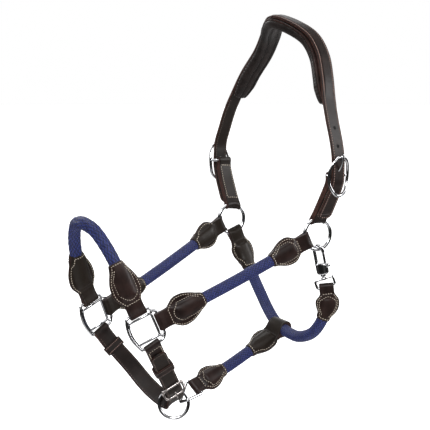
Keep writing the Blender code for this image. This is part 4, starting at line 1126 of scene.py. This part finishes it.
def make_headstall():
    half = [mirrored(p, OFF) for p in NOSE_HALF]
    knots = [dee_point(NEAR, 0, DEE_REACH)] + [mirrored(p, NEAR) for p in NOSE_HALF]
    knots += [Vector(NOSE_TOP)] + half[::-1] + [dee_point(OFF, 0, DEE_REACH)]
    route = Route(knots)
    rope_between("nose_rope", route, NOSE_LEAF, NOSE_LEAF, NOSE_ROPE_RADIUS, count=12,
                 slope=0.42, ridges=1.0)
    for name, side in SIDES:
        one = route if side == NEAR else route.reversed()
        width = dee_axis(side, 0)
        out = mirrored((0, 1, 0), side)
        leaf(name + "_nose_leather", one, NOSE_LEAF, NOSE_ROPE_RADIUS, (width, width), out)
        start = dee_point(side, DEE_REACH, 0)
        end = ring_point(side, CHEEK_ANGLE)
        middle = (start + end) / 2 - Vector((0, 0, 0.0015))
        cheek = Route([start, middle, end])
        rope_between(name + "_cheek_rope", cheek, CHEEK_FRONT_LEAF, CHEEK_REAR_LEAF)
        width = dee_axis(side, 1)
        leaf(name + "_cheek_front_leather", cheek, CHEEK_FRONT_LEAF, ROPE_RADIUS,
             (width, width), out)
        leaf(name + "_cheek_rear_leather", cheek.reversed(), CHEEK_REAR_LEAF, ROPE_RADIUS,
             (ring_tangent(CHEEK_ANGLE), width), out, hold=RING_WIRE, neck=0.0098,
             on_ring=True)
    throat = Route([EYE_BAR] + list(THROAT_POINTS) + [ring_point(OFF, THROAT_ANGLE)])
    rope_between("throat_rope", throat, NEAR_THROAT_LEAF, OFF_THROAT_LEAF)
    along = EYE_MATRIX.to_3x3().col[0].copy()
    leaf("near_throat_leather", throat, NEAR_THROAT_LEAF, ROPE_RADIUS, (along, along),
         (-0.2, -1, 0), hold=EYE_WIRE, neck=0.0088)
    turn = ring_tangent(THROAT_ANGLE)
    leaf("off_throat_leather", throat.reversed(), OFF_THROAT_LEAF, ROPE_RADIUS,
         (turn, turn), (0, 1, 0), hold=RING_WIRE, neck=0.0098, on_ring=True)
    near_middle = min((throat.at(throat.length * i / 200) for i in range(201)),
                      key=lambda p: abs(p.y - 0.001))
    samples = [throat.length * i / 400 for i in range(401)]
    mark = min(samples, key=lambda s: (throat.at(s) - near_middle).length)
    link = Route([LINK_BAR] + [Vector(p) for p in CONNECTOR_POINTS] + [near_middle])
    braid("connector_rope", link, JAW_FRONT_LEAF[0] * SOCKET_START,
          link.length - JAW_REAR_LEAF[0] * (SOCKET_START + 0.05), ROPE_RADIUS)
    width = LINK_MATRIX.to_3x3().col[0].copy()
    leaf("connector_front_leather", link, JAW_FRONT_LEAF, ROPE_RADIUS, (width, width),
         (0, -1, -0.6), hold=LINK_WIRE, neck=0.0095)
    side_way = throat.tangent(mark)
    if side_way.dot(width) < 0:
        side_way = -side_way
    leaf("connector_rear_leather", link.reversed(), JAW_REAR_LEAF, ROPE_RADIUS,
         (side_way, width), (0, 0, -1), hold=ROPE_RADIUS, neck=0.0122)


# ------------------------------------------------------------ straps folded at both ends
def fold_rows(low, thick):
    """Heights along a fold round metal at zero, then on to the strap's own height."""
    return [(-low, 0.16 * low), (-low * 0.92, 0.42 * low), (-low * 0.70, 0.72 * low),
            (-low * 0.3, 0.95 * low), (0.0, 0.99 * low), (low * 0.5, 0.93 * low),
            (low * 1.9, thick)]


def folded(name, route, folds, half_width, body_thick, widths, body, outward,
           on_ring=False):
    """A strap folded round metal at both ends and sewn along both edges."""
    low, high = folds
    length = route.length
    table = np.array(fold_rows(low, body_thick) + [
        (length * 0.5, body_thick),
        (length - high * 1.9, body_thick), (length - high * 0.5, 0.93 * high),
        (length, 0.99 * high), (length + high * 0.3, 0.95 * high),
        (length + high * 0.70, 0.72 * high), (length + high * 0.92, 0.42 * high),
        (length + high, 0.16 * high)])
    marks = np.concatenate([np.linspace(-low, low, 20), np.linspace(low, length - high, 50)[1:-1],
                            np.linspace(length - high, length + high, 20)])
    stations = Stations(route, marks, blend(*widths, length))

    def half(s):
        return np.full(np.shape(s), half_width)

    def top(s, x):
        return ease(table[:, 0], table[:, 1], s) + 0 * x

    shift = ring_sag(stations, low) if on_ring else None
    slab = Slab(stations, half, top, shift=shift, layers=2,
                groove=((0.00015, SEAM_INSET, SEAM_WIDTH),))
    face = facing_side(stations.n[len(marks) // 2], outward)
    made = slab.build(name + "_hide", MAT["strap"], body, name, outer=face)
    a = low * 1.6
    b = length - high * 1.6
    w = half_width - 0.0019
    for side in (1, -1):
        for start, stop in (((a, -w), (b, -w)), ((a, w), (b, w)), ((a, -w), (a, w)),
                            ((b, -w), (b, w))):
            sew(slab, [start, stop], side, "cream", body)


# ------------------------------------------------------------ buckles
def buckle(name, matrix, half, wires, rims, square, material, body):
    """A closed frame with a centre bar; rims are the lower, upper and side heights."""
    half_width, half_length = half
    wire, bar = wires
    lower, upper, sides = rims
    power = 0.36 if square else 1.0
    count = 96
    path = []
    for i in range(count):
        angle = math.tau * (i + 0.5) / count
        c, s = math.cos(angle), math.sin(angle)
        x = half_width * math.copysign(abs(c) ** power, c)
        y = half_length * math.copysign(abs(s) ** power, s)
        rim = upper if y > 0 else lower
        share = min(1.0, (y / (half_length * 0.78)) ** 2)
        path.append((x, y, sides + (rim - sides) * share))
    path = np.array(path)
    whole = np.vstack([path, path[:1]])
    run = np.concatenate([[0], np.cumsum(np.linalg.norm(np.diff(whole, axis=0), axis=1))])
    at = np.linspace(0, run[-1], 140, endpoint=False)
    path = np.stack([np.interp(at, run, whole[:, k]) for k in range(3)], -1)
    for _ in range(2):
        path = (np.roll(path, 1, 0) + 2 * path + np.roll(path, -1, 0)) / 4
    frame_wire = wire_points(path, wire, wire * 0.92, True, around=24)
    bent = [(1.0, sides), (0.92, sides * 0.84), (0.82, sides * 0.42), (0.72, sides * 0.06),
            (0.62, 0.0), (0.3, 0.0)]
    bend = [(-half_width * x, 0, z) for x, z in bent]
    bend += [(half_width * x, 0, z) for x, z in bent[::-1]]
    pin = wire_points(open_smooth(bend, 5), bar, bar, False, up=(0, 1, 0))
    bundle(name + "_frame", [(frame_wire, True), (pin, False)], material, body, name,
           matrix)


def tongue(name, matrix, path, eye, wire, material, body):
    """A buckle's pin: an eye round the centre bar and a stem to the rim."""
    major, minor = eye
    turn = matrix @ Matrix.Rotation(math.radians(90), 4, "Y")
    smooth = open_smooth([(0, y, z) for y, z in path], 6)
    size = np.interp(np.linspace(0, 1, len(smooth)), [0, 0.2, 0.85, 1], [1.0, 1.0, 0.95, 0.85])
    stem = caps(wire_points(smooth, wire, wire * 0.9, False, up=(0, 0, 1), taper=size))
    loop = hoop(major, minor * 1.15, turn, around=48)
    parts = [(place(stem, matrix), False), (loop, True)]
    bundle(name + "_pin", parts, material, body, name)


# ------------------------------------------------------------ crown
CROWN_TWIST = math.radians(12)
CHAPE_BODY = 0.0040
CROWN_HALF_THICK = 0.0018
LINING_TOP = CROWN_HALF_THICK + PLY + 2 * GAP
CROWN_HALF = (
    (0.0002, 0.1265, -0.1430), (0.0020, 0.1150, -0.1175), (0.0060, 0.1025, -0.0935),
    (0.0120, 0.0890, -0.0675), (0.0190, 0.0700, -0.0405), (0.0175, 0.0505, -0.0180),
    (0.0080, 0.0275, -0.0035))
CROWN_TOP = Vector((0.0, 0.0, 0.0040))
PAD_REACH = 0.156
HOLE_OFFSETS = (0.0355, 0.0585)
PAD_HALF_WIDTH = 0.0130
TAIL_MARKS = (0.0050, 0.0200, 0.0340, 0.0450)
CROWN_TIP = 0.0078


def buckle_matrix(side):
    outward = Vector((-math.sin(CROWN_TWIST) * side, math.cos(CROWN_TWIST) * side, 0))
    return basis(mirrored(BUCKLE_CENTRE, side), (0.03, 0.10 * side, 0.99), outward)


def chape_route(side):
    low = ring_point(side, CROWN_ANGLE)
    high = mirrored(BUCKLE_CENTRE, side)
    rise = buckle_matrix(side).to_3x3().col[1]
    middle = (low + high) / 2 + mirrored((0, 0.0026, -0.0010), side)
    return Route([low, middle, high - rise * 0.010, high])


def chape_widths(side):
    high = buckle_matrix(side).to_3x3().col[0].copy()
    low = ring_tangent(CROWN_ANGLE)
    if low.dot(high) < 0:
        low = -low
    return low.lerp(high, 0.4), high


def chape_normal(side, route, s):
    tangent = route.tangent(s)
    wide = blend(*chape_widths(side), route.length)(s)
    return across(tangent, wide).cross(tangent)


def crown_knots(side):
    matrix = buckle_matrix(side)
    route = chape_route(side)
    offset = CHAPE_BODY + GAP + CROWN_HALF_THICK + 0.0009
    knots = [route.at(s) + chape_normal(side, route, s) * offset for s in TAIL_MARKS]
    local = [(-0.0080, 0.0074), (0.0, 0.0073), (0.0100, 0.0064), (0.0235, 0.0046)]
    knots += [matrix @ Vector((0, y, z)) for y, z in local]
    return knots + [mirrored(p, side) for p in CROWN_HALF]


def crown_normal(route, s):
    tangent = route.tangent(s)
    flat = across(tangent, Vector((1, 0, 0))).cross(tangent)
    wave = math.cos(math.pi * s / route.length)
    twist = CROWN_TWIST * 1.05 * math.copysign(abs(wave) ** 0.5, wave)
    return Matrix.Rotation(twist, 3, tangent) @ flat


def make_crown():
    route = Route(crown_knots(NEAR) + [CROWN_TOP] + crown_knots(OFF)[::-1])
    length = route.length
    middle = length / 2
    half_strap = STRAP_WIDTH / 2
    thick = CROWN_HALF_THICK
    tails = {side: chape_route(side) for _, side in SIDES}

    def facing(s):
        side = NEAR if s < length / 2 else OFF
        along = s if side == NEAR else length - s
        upper = crown_normal(route, s)
        mark = TAIL_MARKS[0] + along
        lower = chape_normal(side, tails[side], mark)
        share = min(max((mark - tails[side].length) / 0.020, 0.0), 1.0)
        return lower.lerp(upper, share)

    def width(s):
        tangent = route.tangent(s)
        normal = across(tangent, facing(s))
        return tangent.cross(normal)

    tip = CROWN_TIP * (1 - np.cos(np.linspace(0, math.pi / 2, 12)))
    body = np.linspace(CROWN_TIP, length - CROWN_TIP, 380)
    marks = np.unique(np.concatenate([tip, body, length - tip]))
    stations = Stations(route, marks, width)

    def half(s):
        return round_end(half_strap, CROWN_TIP, np.minimum(s, length - s))

    def flat(s, x):
        edge = np.minimum(s, length - s)
        return thick - 0.0007 * np.clip(1 - edge / 0.0007, 0, 1) + 0 * x

    def ridged(s, x):
        padded = np.clip((PAD_REACH - 0.004 - np.abs(s - middle)) / 0.020, 0, 1)
        raised = np.clip((0.0071 - np.abs(x)) / 0.0014, 0, 1)
        raised = raised * raised * (3 - 2 * raised)
        return flat(s, x) + 0.0010 * padded * raised

    strap = Slab(stations, half, ridged, flat, corner=0.0006, layers=2,
                 groove=((0.00016, 0.0020, SEAM_WIDTH),))
    made = strap.build("crown_strap_hide", MAT["strap"], "crownpiece", "crown_strap", count=41)
    s = np.linspace(0.0032, middle * 2 - 0.0032, 420)
    w = np.clip(half(s) - 0.0020, 0.0012, None)
    loop = list(zip(s, -w)) + list(zip(s[::-1], w[::-1])) + [(s[0], -w[0])]
    sew(strap, loop, 1, "pink", "crownpiece")
    bar = route.marks[5 * Route.FINE]
    for offset in HOLE_OFFSETS:
        for mark in (bar + offset, length - bar - offset):
            punch(strap, mark, 0.0, 1, "crownpiece")
    reach = PAD_REACH + 0.003
    for start, stop in ((s[0], middle - reach), (middle + reach, s[-1])):
        run = np.linspace(start + 0.004, stop - 0.004, 120)
        for x in (0.0020 - half_strap, half_strap - 0.0020):
            sew(strap, [(q, x) for q in run], -1, "brown", "crownpiece")
    ridge = np.linspace(middle - PAD_REACH + 0.012, middle + PAD_REACH - 0.012, 300)
    for x in (-0.0076, 0.0076):
        sew(strap, [(q, x) for q in ridge], 1, "pink", "crownpiece")

    pad_marks = middle + PAD_REACH * np.sin(np.linspace(-1, 1, 201) * math.pi / 2)
    pad_marks = middle + (pad_marks - middle) * 0.35 + PAD_REACH * np.linspace(-1, 1, 201) * 0.65
    place_pad = Stations(route, pad_marks, width)

    def spread(s):
        end = np.clip(PAD_REACH - np.abs(s - middle), 0, None)
        return PAD_HALF_WIDTH * (0.62 + 0.38 * np.minimum(1.0, (end / 0.022)) ** 0.7)

    low = thick + GAP
    high = low + PLY

    cover = Slab(place_pad, spread, lambda s, x: -low + 0 * x, lambda s, x: high + 0 * x,
                 corner=0.0004, layers=2)
    made = cover.build("crown_cover_hide", MAT["leather"], "crownpiece", "crown_cover",
                       count=29)
    make_pad(place_pad, spread, middle)


def pad_rings(stations, spread, middle, grow, around=72):
    """The pad below the cover: a soft lens with two sewn channels."""
    s = stations.s
    end = np.clip(PAD_REACH - np.abs(s - middle), 0, None)
    depth = 0.0098 * (0.50 + 0.50 * np.minimum(1.0, end / 0.018) ** 0.6)
    wide = spread(s) - 0.0006 + grow
    theta = np.linspace(0, math.tau, around, endpoint=False)
    c, q = np.cos(theta), np.sin(theta)
    u = np.sign(c) * np.abs(c) ** 0.62
    x = wide[:, None] * u[None]
    low = np.where(q > 0, np.abs(q) ** 0.60, 0.0)
    channel = (np.exp(-((np.abs(u) - 0.42) / 0.085) ** 2)) * (q > 0)
    pinch = 0.86 + 0.14 * np.abs(np.sin(math.pi * (s - middle) / 0.0085))[:, None] ** 0.5
    crease = 1 - 0.34 * channel[None] * (1.15 - 0.3 * pinch)
    rim = np.exp(-((np.abs(u) - 0.95) / 0.12) ** 2)[None]
    ripple = 0.00022 * np.sin(s * 1450)[:, None] * rim
    ripple = ripple + 0.00018 * np.sin(s * 910 + 1.0)[:, None] * channel[None]
    z = -(LINING_TOP - 0.0002) - (depth[:, None] + grow) * low[None] * crease + ripple
    z = np.where(q[None] <= 0, -(LINING_TOP - 0.0002), z)
    x = x + np.sign(x) * ripple * 1.5
    return (stations.c[:, None] + stations.w[:, None] * x[..., None]
            + stations.n[:, None] * z[..., None])


def make_pad(stations, spread, middle):
    pad = skin("crown_pad", pad_rings(stations, spread, middle, 0.0010), MAT["pad"],
               "crownpiece", "crown_lining")
    foam = skin("crown_foam_core", pad_rings(stations, spread, middle, -0.0016, 40),
                MAT["foam"], "crownpiece", "crown_foam")


# ------------------------------------------------------------ chin strap
CHIN_HALF_THICK = 0.0013
CHIN_CHAPE_BODY = 0.0024
CHIN_BUCKLE_HALF_WIDTH = 0.0135
CHIN_BUCKLE_HALF_LENGTH = 0.0106
CHIN_WIRE = 0.0015
CHIN_BAR = 0.0013
CHIN_PLY = 0.0018
CHIN_RIMS = (0.0058, 0.0082, 0.0)
CHIN_TIP = 0.0060
CHIN_DOUBLE = 0.0300
CHIN_SINGLE = 0.0312
CHIN_BUCKLE_CENTRE = Vector((-0.1694, -0.0254, -0.4415))
CHIN_POINTS = (
    (-0.2085, 0.0602, -0.3940), (-0.1980, 0.0520, -0.4085), (-0.1885, 0.0395, -0.4240),
    (-0.1770, 0.0225, -0.4450), (-0.1650, 0.0090, -0.4600), (-0.1562, -0.0020, -0.4660))
KEEPER_HALF = 0.0055


def chin_matrix():
    up = dee_point(NEAR, 0, -DEE_REACH) - CHIN_BUCKLE_CENTRE
    return basis(CHIN_BUCKLE_CENTRE, up, (0.028, -0.874, -0.485))


def keeper(name, matrix, room, body, kind):
    """A leather loop round a strap; room is its half width, low and high sides."""
    half, low, high = room
    wall = 0.0017
    a, b = half + wall / 2, high + wall / 2
    c = low - wall / 2
    loop = rounded([(-a, 0, c), (a, 0, c), (a, 0, b), (-a, 0, b)], 0.0026, 8)
    loop, t = refined(loop, 0.0008)
    out = np.cross(t, (0, 1, 0))
    if (out * loop).sum() < 0:
        out = -out
    y = np.array([-1, -0.93, -0.6, -0.2, 0.2, 0.6, 0.93, 1, 1, 0.93, 0.5, 0, -0.5, -0.93, -1])
    z = np.array([0.55, 0.9, 1, 1, 1, 1, 0.9, 0.55, -0.55, -0.9, -1, -1, -1, -0.9, -0.55])
    rings = (loop[:, None] + out[:, None] * (z * wall / 2)[None, :, None]
             + np.array([0, KEEPER_HALF, 0]) * y[None, :, None])
    cut = np.zeros((len(loop), len(y), 3))
    cut[:, :, 0] = (np.abs(y) > 0.97)[None] * 1.0
    cut[:, :, 1] = (0.5 + z / 2)[None]
    made = skin(name + "_loop", place(rings, matrix), MAT["strap"], body, name, closed=True,
                vertex={"cut": cut})
    m = np.array(matrix)[:3, :3]
    for y in (-0.62, 0.62):
        p = place(loop + out * wall / 2 + np.array([0, KEEPER_HALF * y, 0]), matrix)
        p = np.vstack([p, p[:1]])
        n = out @ m.T
        lay(p, np.vstack([n, n[:1]]), kind, body, pitch=0.0026, length=0.0019)


def make_chin():
    matrix = chin_matrix()
    near_bar = dee_point(NEAR, 0, -DEE_REACH)
    off_bar = dee_point(OFF, 0, -DEE_REACH)
    reach = (near_bar - CHIN_BUCKLE_CENTRE).length
    width = matrix.to_3x3().col[0].copy()
    buckle("chin_buckle", matrix, (CHIN_BUCKLE_HALF_WIDTH, CHIN_BUCKLE_HALF_LENGTH),
           (CHIN_WIRE, CHIN_BAR), CHIN_RIMS, True, MAT["satin"], "headstall")
    rest = CHIN_RIMS[0] + CHIN_WIRE + 0.0010 + GAP
    path = [(-0.0003, 0.0025), (-0.0022, 0.0034), (-0.0042, 0.0054), (-0.0068, 0.0074),
            (-CHIN_BUCKLE_HALF_LENGTH, rest), (-CHIN_BUCKLE_HALF_LENGTH - 0.0022, rest)]
    tongue("chin_tongue", matrix, path, (0.0025, 0.0008), 0.0010, MAT["satin"], "chin_tongue")
    chape = Route([near_bar, (near_bar + CHIN_BUCKLE_CENTRE) / 2, CHIN_BUCKLE_CENTRE])
    folded("near_chin_chape", chape, (DEE_WIRE + GAP + CHIN_PLY, CHIN_BAR + GAP + CHIN_PLY),
           CHIN_WIDTH / 2 - 0.0004, CHIN_CHAPE_BODY, (dee_axis(NEAR, 0), width), "headstall",
           (0, -1, 0))
    tail = CHIN_CHAPE_BODY + GAP + CHIN_HALF_THICK + 0.0003
    local = [(-0.0230, -0.0014), (-0.0160, 0.0004), (-0.0106, 0.0020), (-0.0052, 0.0042),
             (0.0, 0.0052), (0.0060, 0.0048), (0.0110, 0.0044), (0.0200, tail),
             (0.0330, tail), (0.0500, tail), (reach - 0.0150, tail)]
    knots = [off_bar] + [Vector(p) for p in CHIN_POINTS]
    knots += [matrix @ Vector((0, y, z)) for y, z in local]
    route = Route(knots)
    length = route.length
    half_strap = CHIN_WIDTH / 2
    fold = DEE_WIRE + GAP + CHIN_PLY
    thin, double = CHIN_HALF_THICK, 0.0024
    table = np.array(fold_rows(fold, double) + [
        (CHIN_DOUBLE, double), (CHIN_SINGLE, thin), (length - 0.001, thin),
        (length, thin * 0.6)])

    marks = np.unique(np.concatenate([
        np.linspace(-fold, fold, 20), np.linspace(fold, CHIN_DOUBLE, 16),
        np.linspace(CHIN_DOUBLE, CHIN_SINGLE, 4),
        np.linspace(CHIN_SINGLE, length - CHIN_TIP, 190),
        length - CHIN_TIP * (1 - np.sin(np.linspace(0, math.pi / 2, 12)))]))
    stations = Stations(route, marks, blend(dee_axis(OFF, 0), width, length * 0.55))

    def half(s):
        return round_end(half_strap, CHIN_TIP, length - s)

    slab = Slab(stations, half, lambda s, x: ease(table[:, 0], table[:, 1], s) + 0 * x,
                corner=0.0005, layers=1, groove=((0.00014, 0.0019, SEAM_WIDTH),))
    face = facing_side(stations.n[len(marks) // 2], (0, -0.5, -0.8))
    made = slab.build("chin_strap_hide", MAT["strap"], "headstall", "chin_strap", outer=face)
    s = np.linspace(fold * 1.6, length - 0.0024, 220)
    w = np.clip(half(s) - 0.0018, 0.0012, None)
    loop = list(zip(s, -w)) + list(zip(s[::-1], w[::-1]))
    for side in (1, -1):
        sew(slab, loop, side, "brown", "headstall")
    sew(slab, [(0.0285, -w[3]), (0.0285, w[3])], face, "brown", "headstall")
    keeper("near_chin_keeper", matrix @ Matrix.Translation((0, 0.0415, 0)),
           (half_strap + 0.0005, -CHIN_CHAPE_BODY - GAP, tail + thin + GAP),
           "near_chin_keeper", "brown")
    middle = route.at(0.0265)
    tangent = route.tangent(0.0265)
    normal = across(tangent, dee_axis(OFF, 0).lerp(width, 0.15)).cross(tangent)
    keeper("off_chin_keeper", basis(middle, tangent, normal),
           (half_strap + 0.0005, -double - 2 * GAP, double + 2 * GAP), "headstall",
           "pink")


def make_crown_sides():
    for side_name, side in SIDES:
        name = side_name + "_crown"
        matrix = buckle_matrix(side)
        buckle(name + "_buckle", matrix, (BUCKLE_HALF_WIDTH, BUCKLE_HALF_LENGTH),
               (BUCKLE_WIRE, BUCKLE_BAR),
               (BUCKLE_DOME + 0.0012, BUCKLE_DOME, BUCKLE_SIDES), False, MAT["chrome"],
               "crownpiece")
        rest = BUCKLE_DOME + BUCKLE_WIRE + TONGUE_WIRE + GAP
        path = [(0.0004, 0.0031), (0.0026, 0.0042), (0.0052, 0.0066), (0.0090, 0.0096),
                (0.0150, 0.0118), (BUCKLE_HALF_LENGTH, rest),
                (BUCKLE_HALF_LENGTH + 0.0030, rest - 0.0002)]
        tongue(name + "_tongue", matrix, path, (0.0031, 0.0010), TONGUE_WIRE, MAT["chrome"],
               name + "_tongue")
        folded(name + "_chape", chape_route(side),
               (RING_WIRE + GAP + PLY, BUCKLE_BAR + GAP + PLY), 0.0098, CHAPE_BODY,
               chape_widths(side), "crownpiece", mirrored((0, 1, 0), side), on_ring=True)


# ------------------------------------------------------------ stage, light and camera
FLOOR_LEVEL = -0.62
FLOOR_RADIUS = 9
FLOOR_SIDES = 96
LOOK_AZIMUTH = math.radians(-31.7)
LOOK_ELEVATION = math.radians(6.5)
LOOK_AT = Vector((-0.0921, 0, -0.2385))
LOOK_DISTANCE = 2.4
LENS = 163.0
LIT_PLACE = Vector((-0.13, 0, -0.24))
LAMPS = (
    ("key", (-1.6, -2.2, 1.5), (1.2, 1.2), 46.0),
    ("fill", (2.0, -1.3, 0.6), (0.8, 1.8), 22.0),
    ("top", (-0.2, 0.4, 2.2), (2.0, 0.8), 26.0),
    ("rim", (-0.6, 2.2, 0.9), (1.4, 0.7), 14.0))
SKY = (
    (0.0, 0.90), (0.15, 0.50), (0.28, 0.05), (0.50, 0.05), (0.60, 0.07), (0.67, 1.5),
    (0.80, 1.2), (0.88, 0.06), (1.0, 0.70))


def make_stage():
    floor_material, tree, base = shader("floor")
    k = Nodes(tree)
    k.put(base.inputs["Base Color"], k.mix(k.noise(3.0, 3.0), rgb(0.90, 0.90, 0.90),
                                           rgb(0.93, 0.93, 0.93)))
    dress(base, Roughness=0.8, Emission_Color=rgb(1.0, 1.0, 1.0), Emission_Strength=0.85)
    angle = np.linspace(0, math.tau, FLOOR_SIDES, endpoint=False)
    ring = np.stack([FLOOR_RADIUS * np.cos(angle), FLOOR_RADIUS * np.sin(angle),
                     np.full(FLOOR_SIDES, FLOOR_LEVEL)], -1)
    mesh = bpy.data.meshes.new("floor")
    mesh.from_pydata([tuple(p) for p in ring], [], [tuple(range(FLOOR_SIDES))])
    mesh.materials.append(floor_material)
    floor = bpy.data.objects.new("floor", mesh)
    bpy.context.scene.collection.objects.link(floor)
    floor.visible_glossy = False


def make_light():
    world = bpy.data.worlds.new("studio")
    bpy.context.scene.world = world
    world.use_nodes = True
    tree = world.node_tree
    k = Nodes(tree)
    background = tree.nodes["Background"]
    way = tree.nodes.new("ShaderNodeTexCoord").outputs["Generated"]
    z = k.split(way)[2]
    node = tree.nodes.new("ShaderNodeValToRGB")
    k.put(node.inputs[0], k.ramp(z, -1.0, 1.0))
    ramp = node.color_ramp
    ramp.interpolation = "EASE"
    while len(ramp.elements) < len(SKY):
        ramp.elements.new(0.5)
    for element, (at, value) in zip(ramp.elements, SKY):
        element.position = at
        element.color = rgb(value, value, value)
    patch = k.noise(1.6, 1.0, way)
    cards = k.ramp(patch, 0.44, 0.56, 0.25, 1.25)
    shade = tree.nodes.new("ShaderNodeVectorMath")
    shade.operation = "SCALE"
    k.put(shade.inputs[0], node.outputs[0])
    k.put(shade.inputs["Scale"], cards)
    seen = tree.nodes.new("ShaderNodeLightPath").outputs["Is Camera Ray"]
    k.put(background.inputs[0], k.mix(seen, shade.outputs[0], rgb(1.0, 1.0, 1.0)))
    background.inputs[1].default_value = 1.0
    for name, place_at, size, power in LAMPS:
        data = bpy.data.lights.new(name, "AREA")
        data.shape = "RECTANGLE"
        data.size, data.size_y = size
        data.energy = power
        lamp = bpy.data.objects.new(name, data)
        lamp.location = place_at
        lamp.rotation_euler = (LIT_PLACE - lamp.location).to_track_quat("-Z", "Y").to_euler()
        bpy.context.scene.collection.objects.link(lamp)


def make_camera():
    level = math.cos(LOOK_ELEVATION)
    right = Vector((math.cos(LOOK_AZIMUTH), math.sin(LOOK_AZIMUTH), 0))
    back = Vector((math.sin(LOOK_AZIMUTH) * level, -math.cos(LOOK_AZIMUTH) * level,
                   math.sin(LOOK_ELEVATION)))
    up = back.cross(right)
    data = bpy.data.cameras.new("camera")
    data.lens = LENS
    data.sensor_width = 36.0
    data.clip_end = 50.0
    camera = bpy.data.objects.new("camera", data)
    turn = Matrix((right, up, back)).transposed().to_4x4()
    camera.matrix_world = Matrix.Translation(LOOK_AT + back * LOOK_DISTANCE) @ turn
    bpy.context.scene.collection.objects.link(camera)
    bpy.context.scene.camera = camera


bpy.context.scene.view_settings.view_transform = "Standard"
make_metal()
make_headstall()
make_crown_sides()
make_crown()
make_chin()
finish_holes()
finish_threads()
make_stage()
make_light()
make_camera()
bpy.context.view_layer.update()
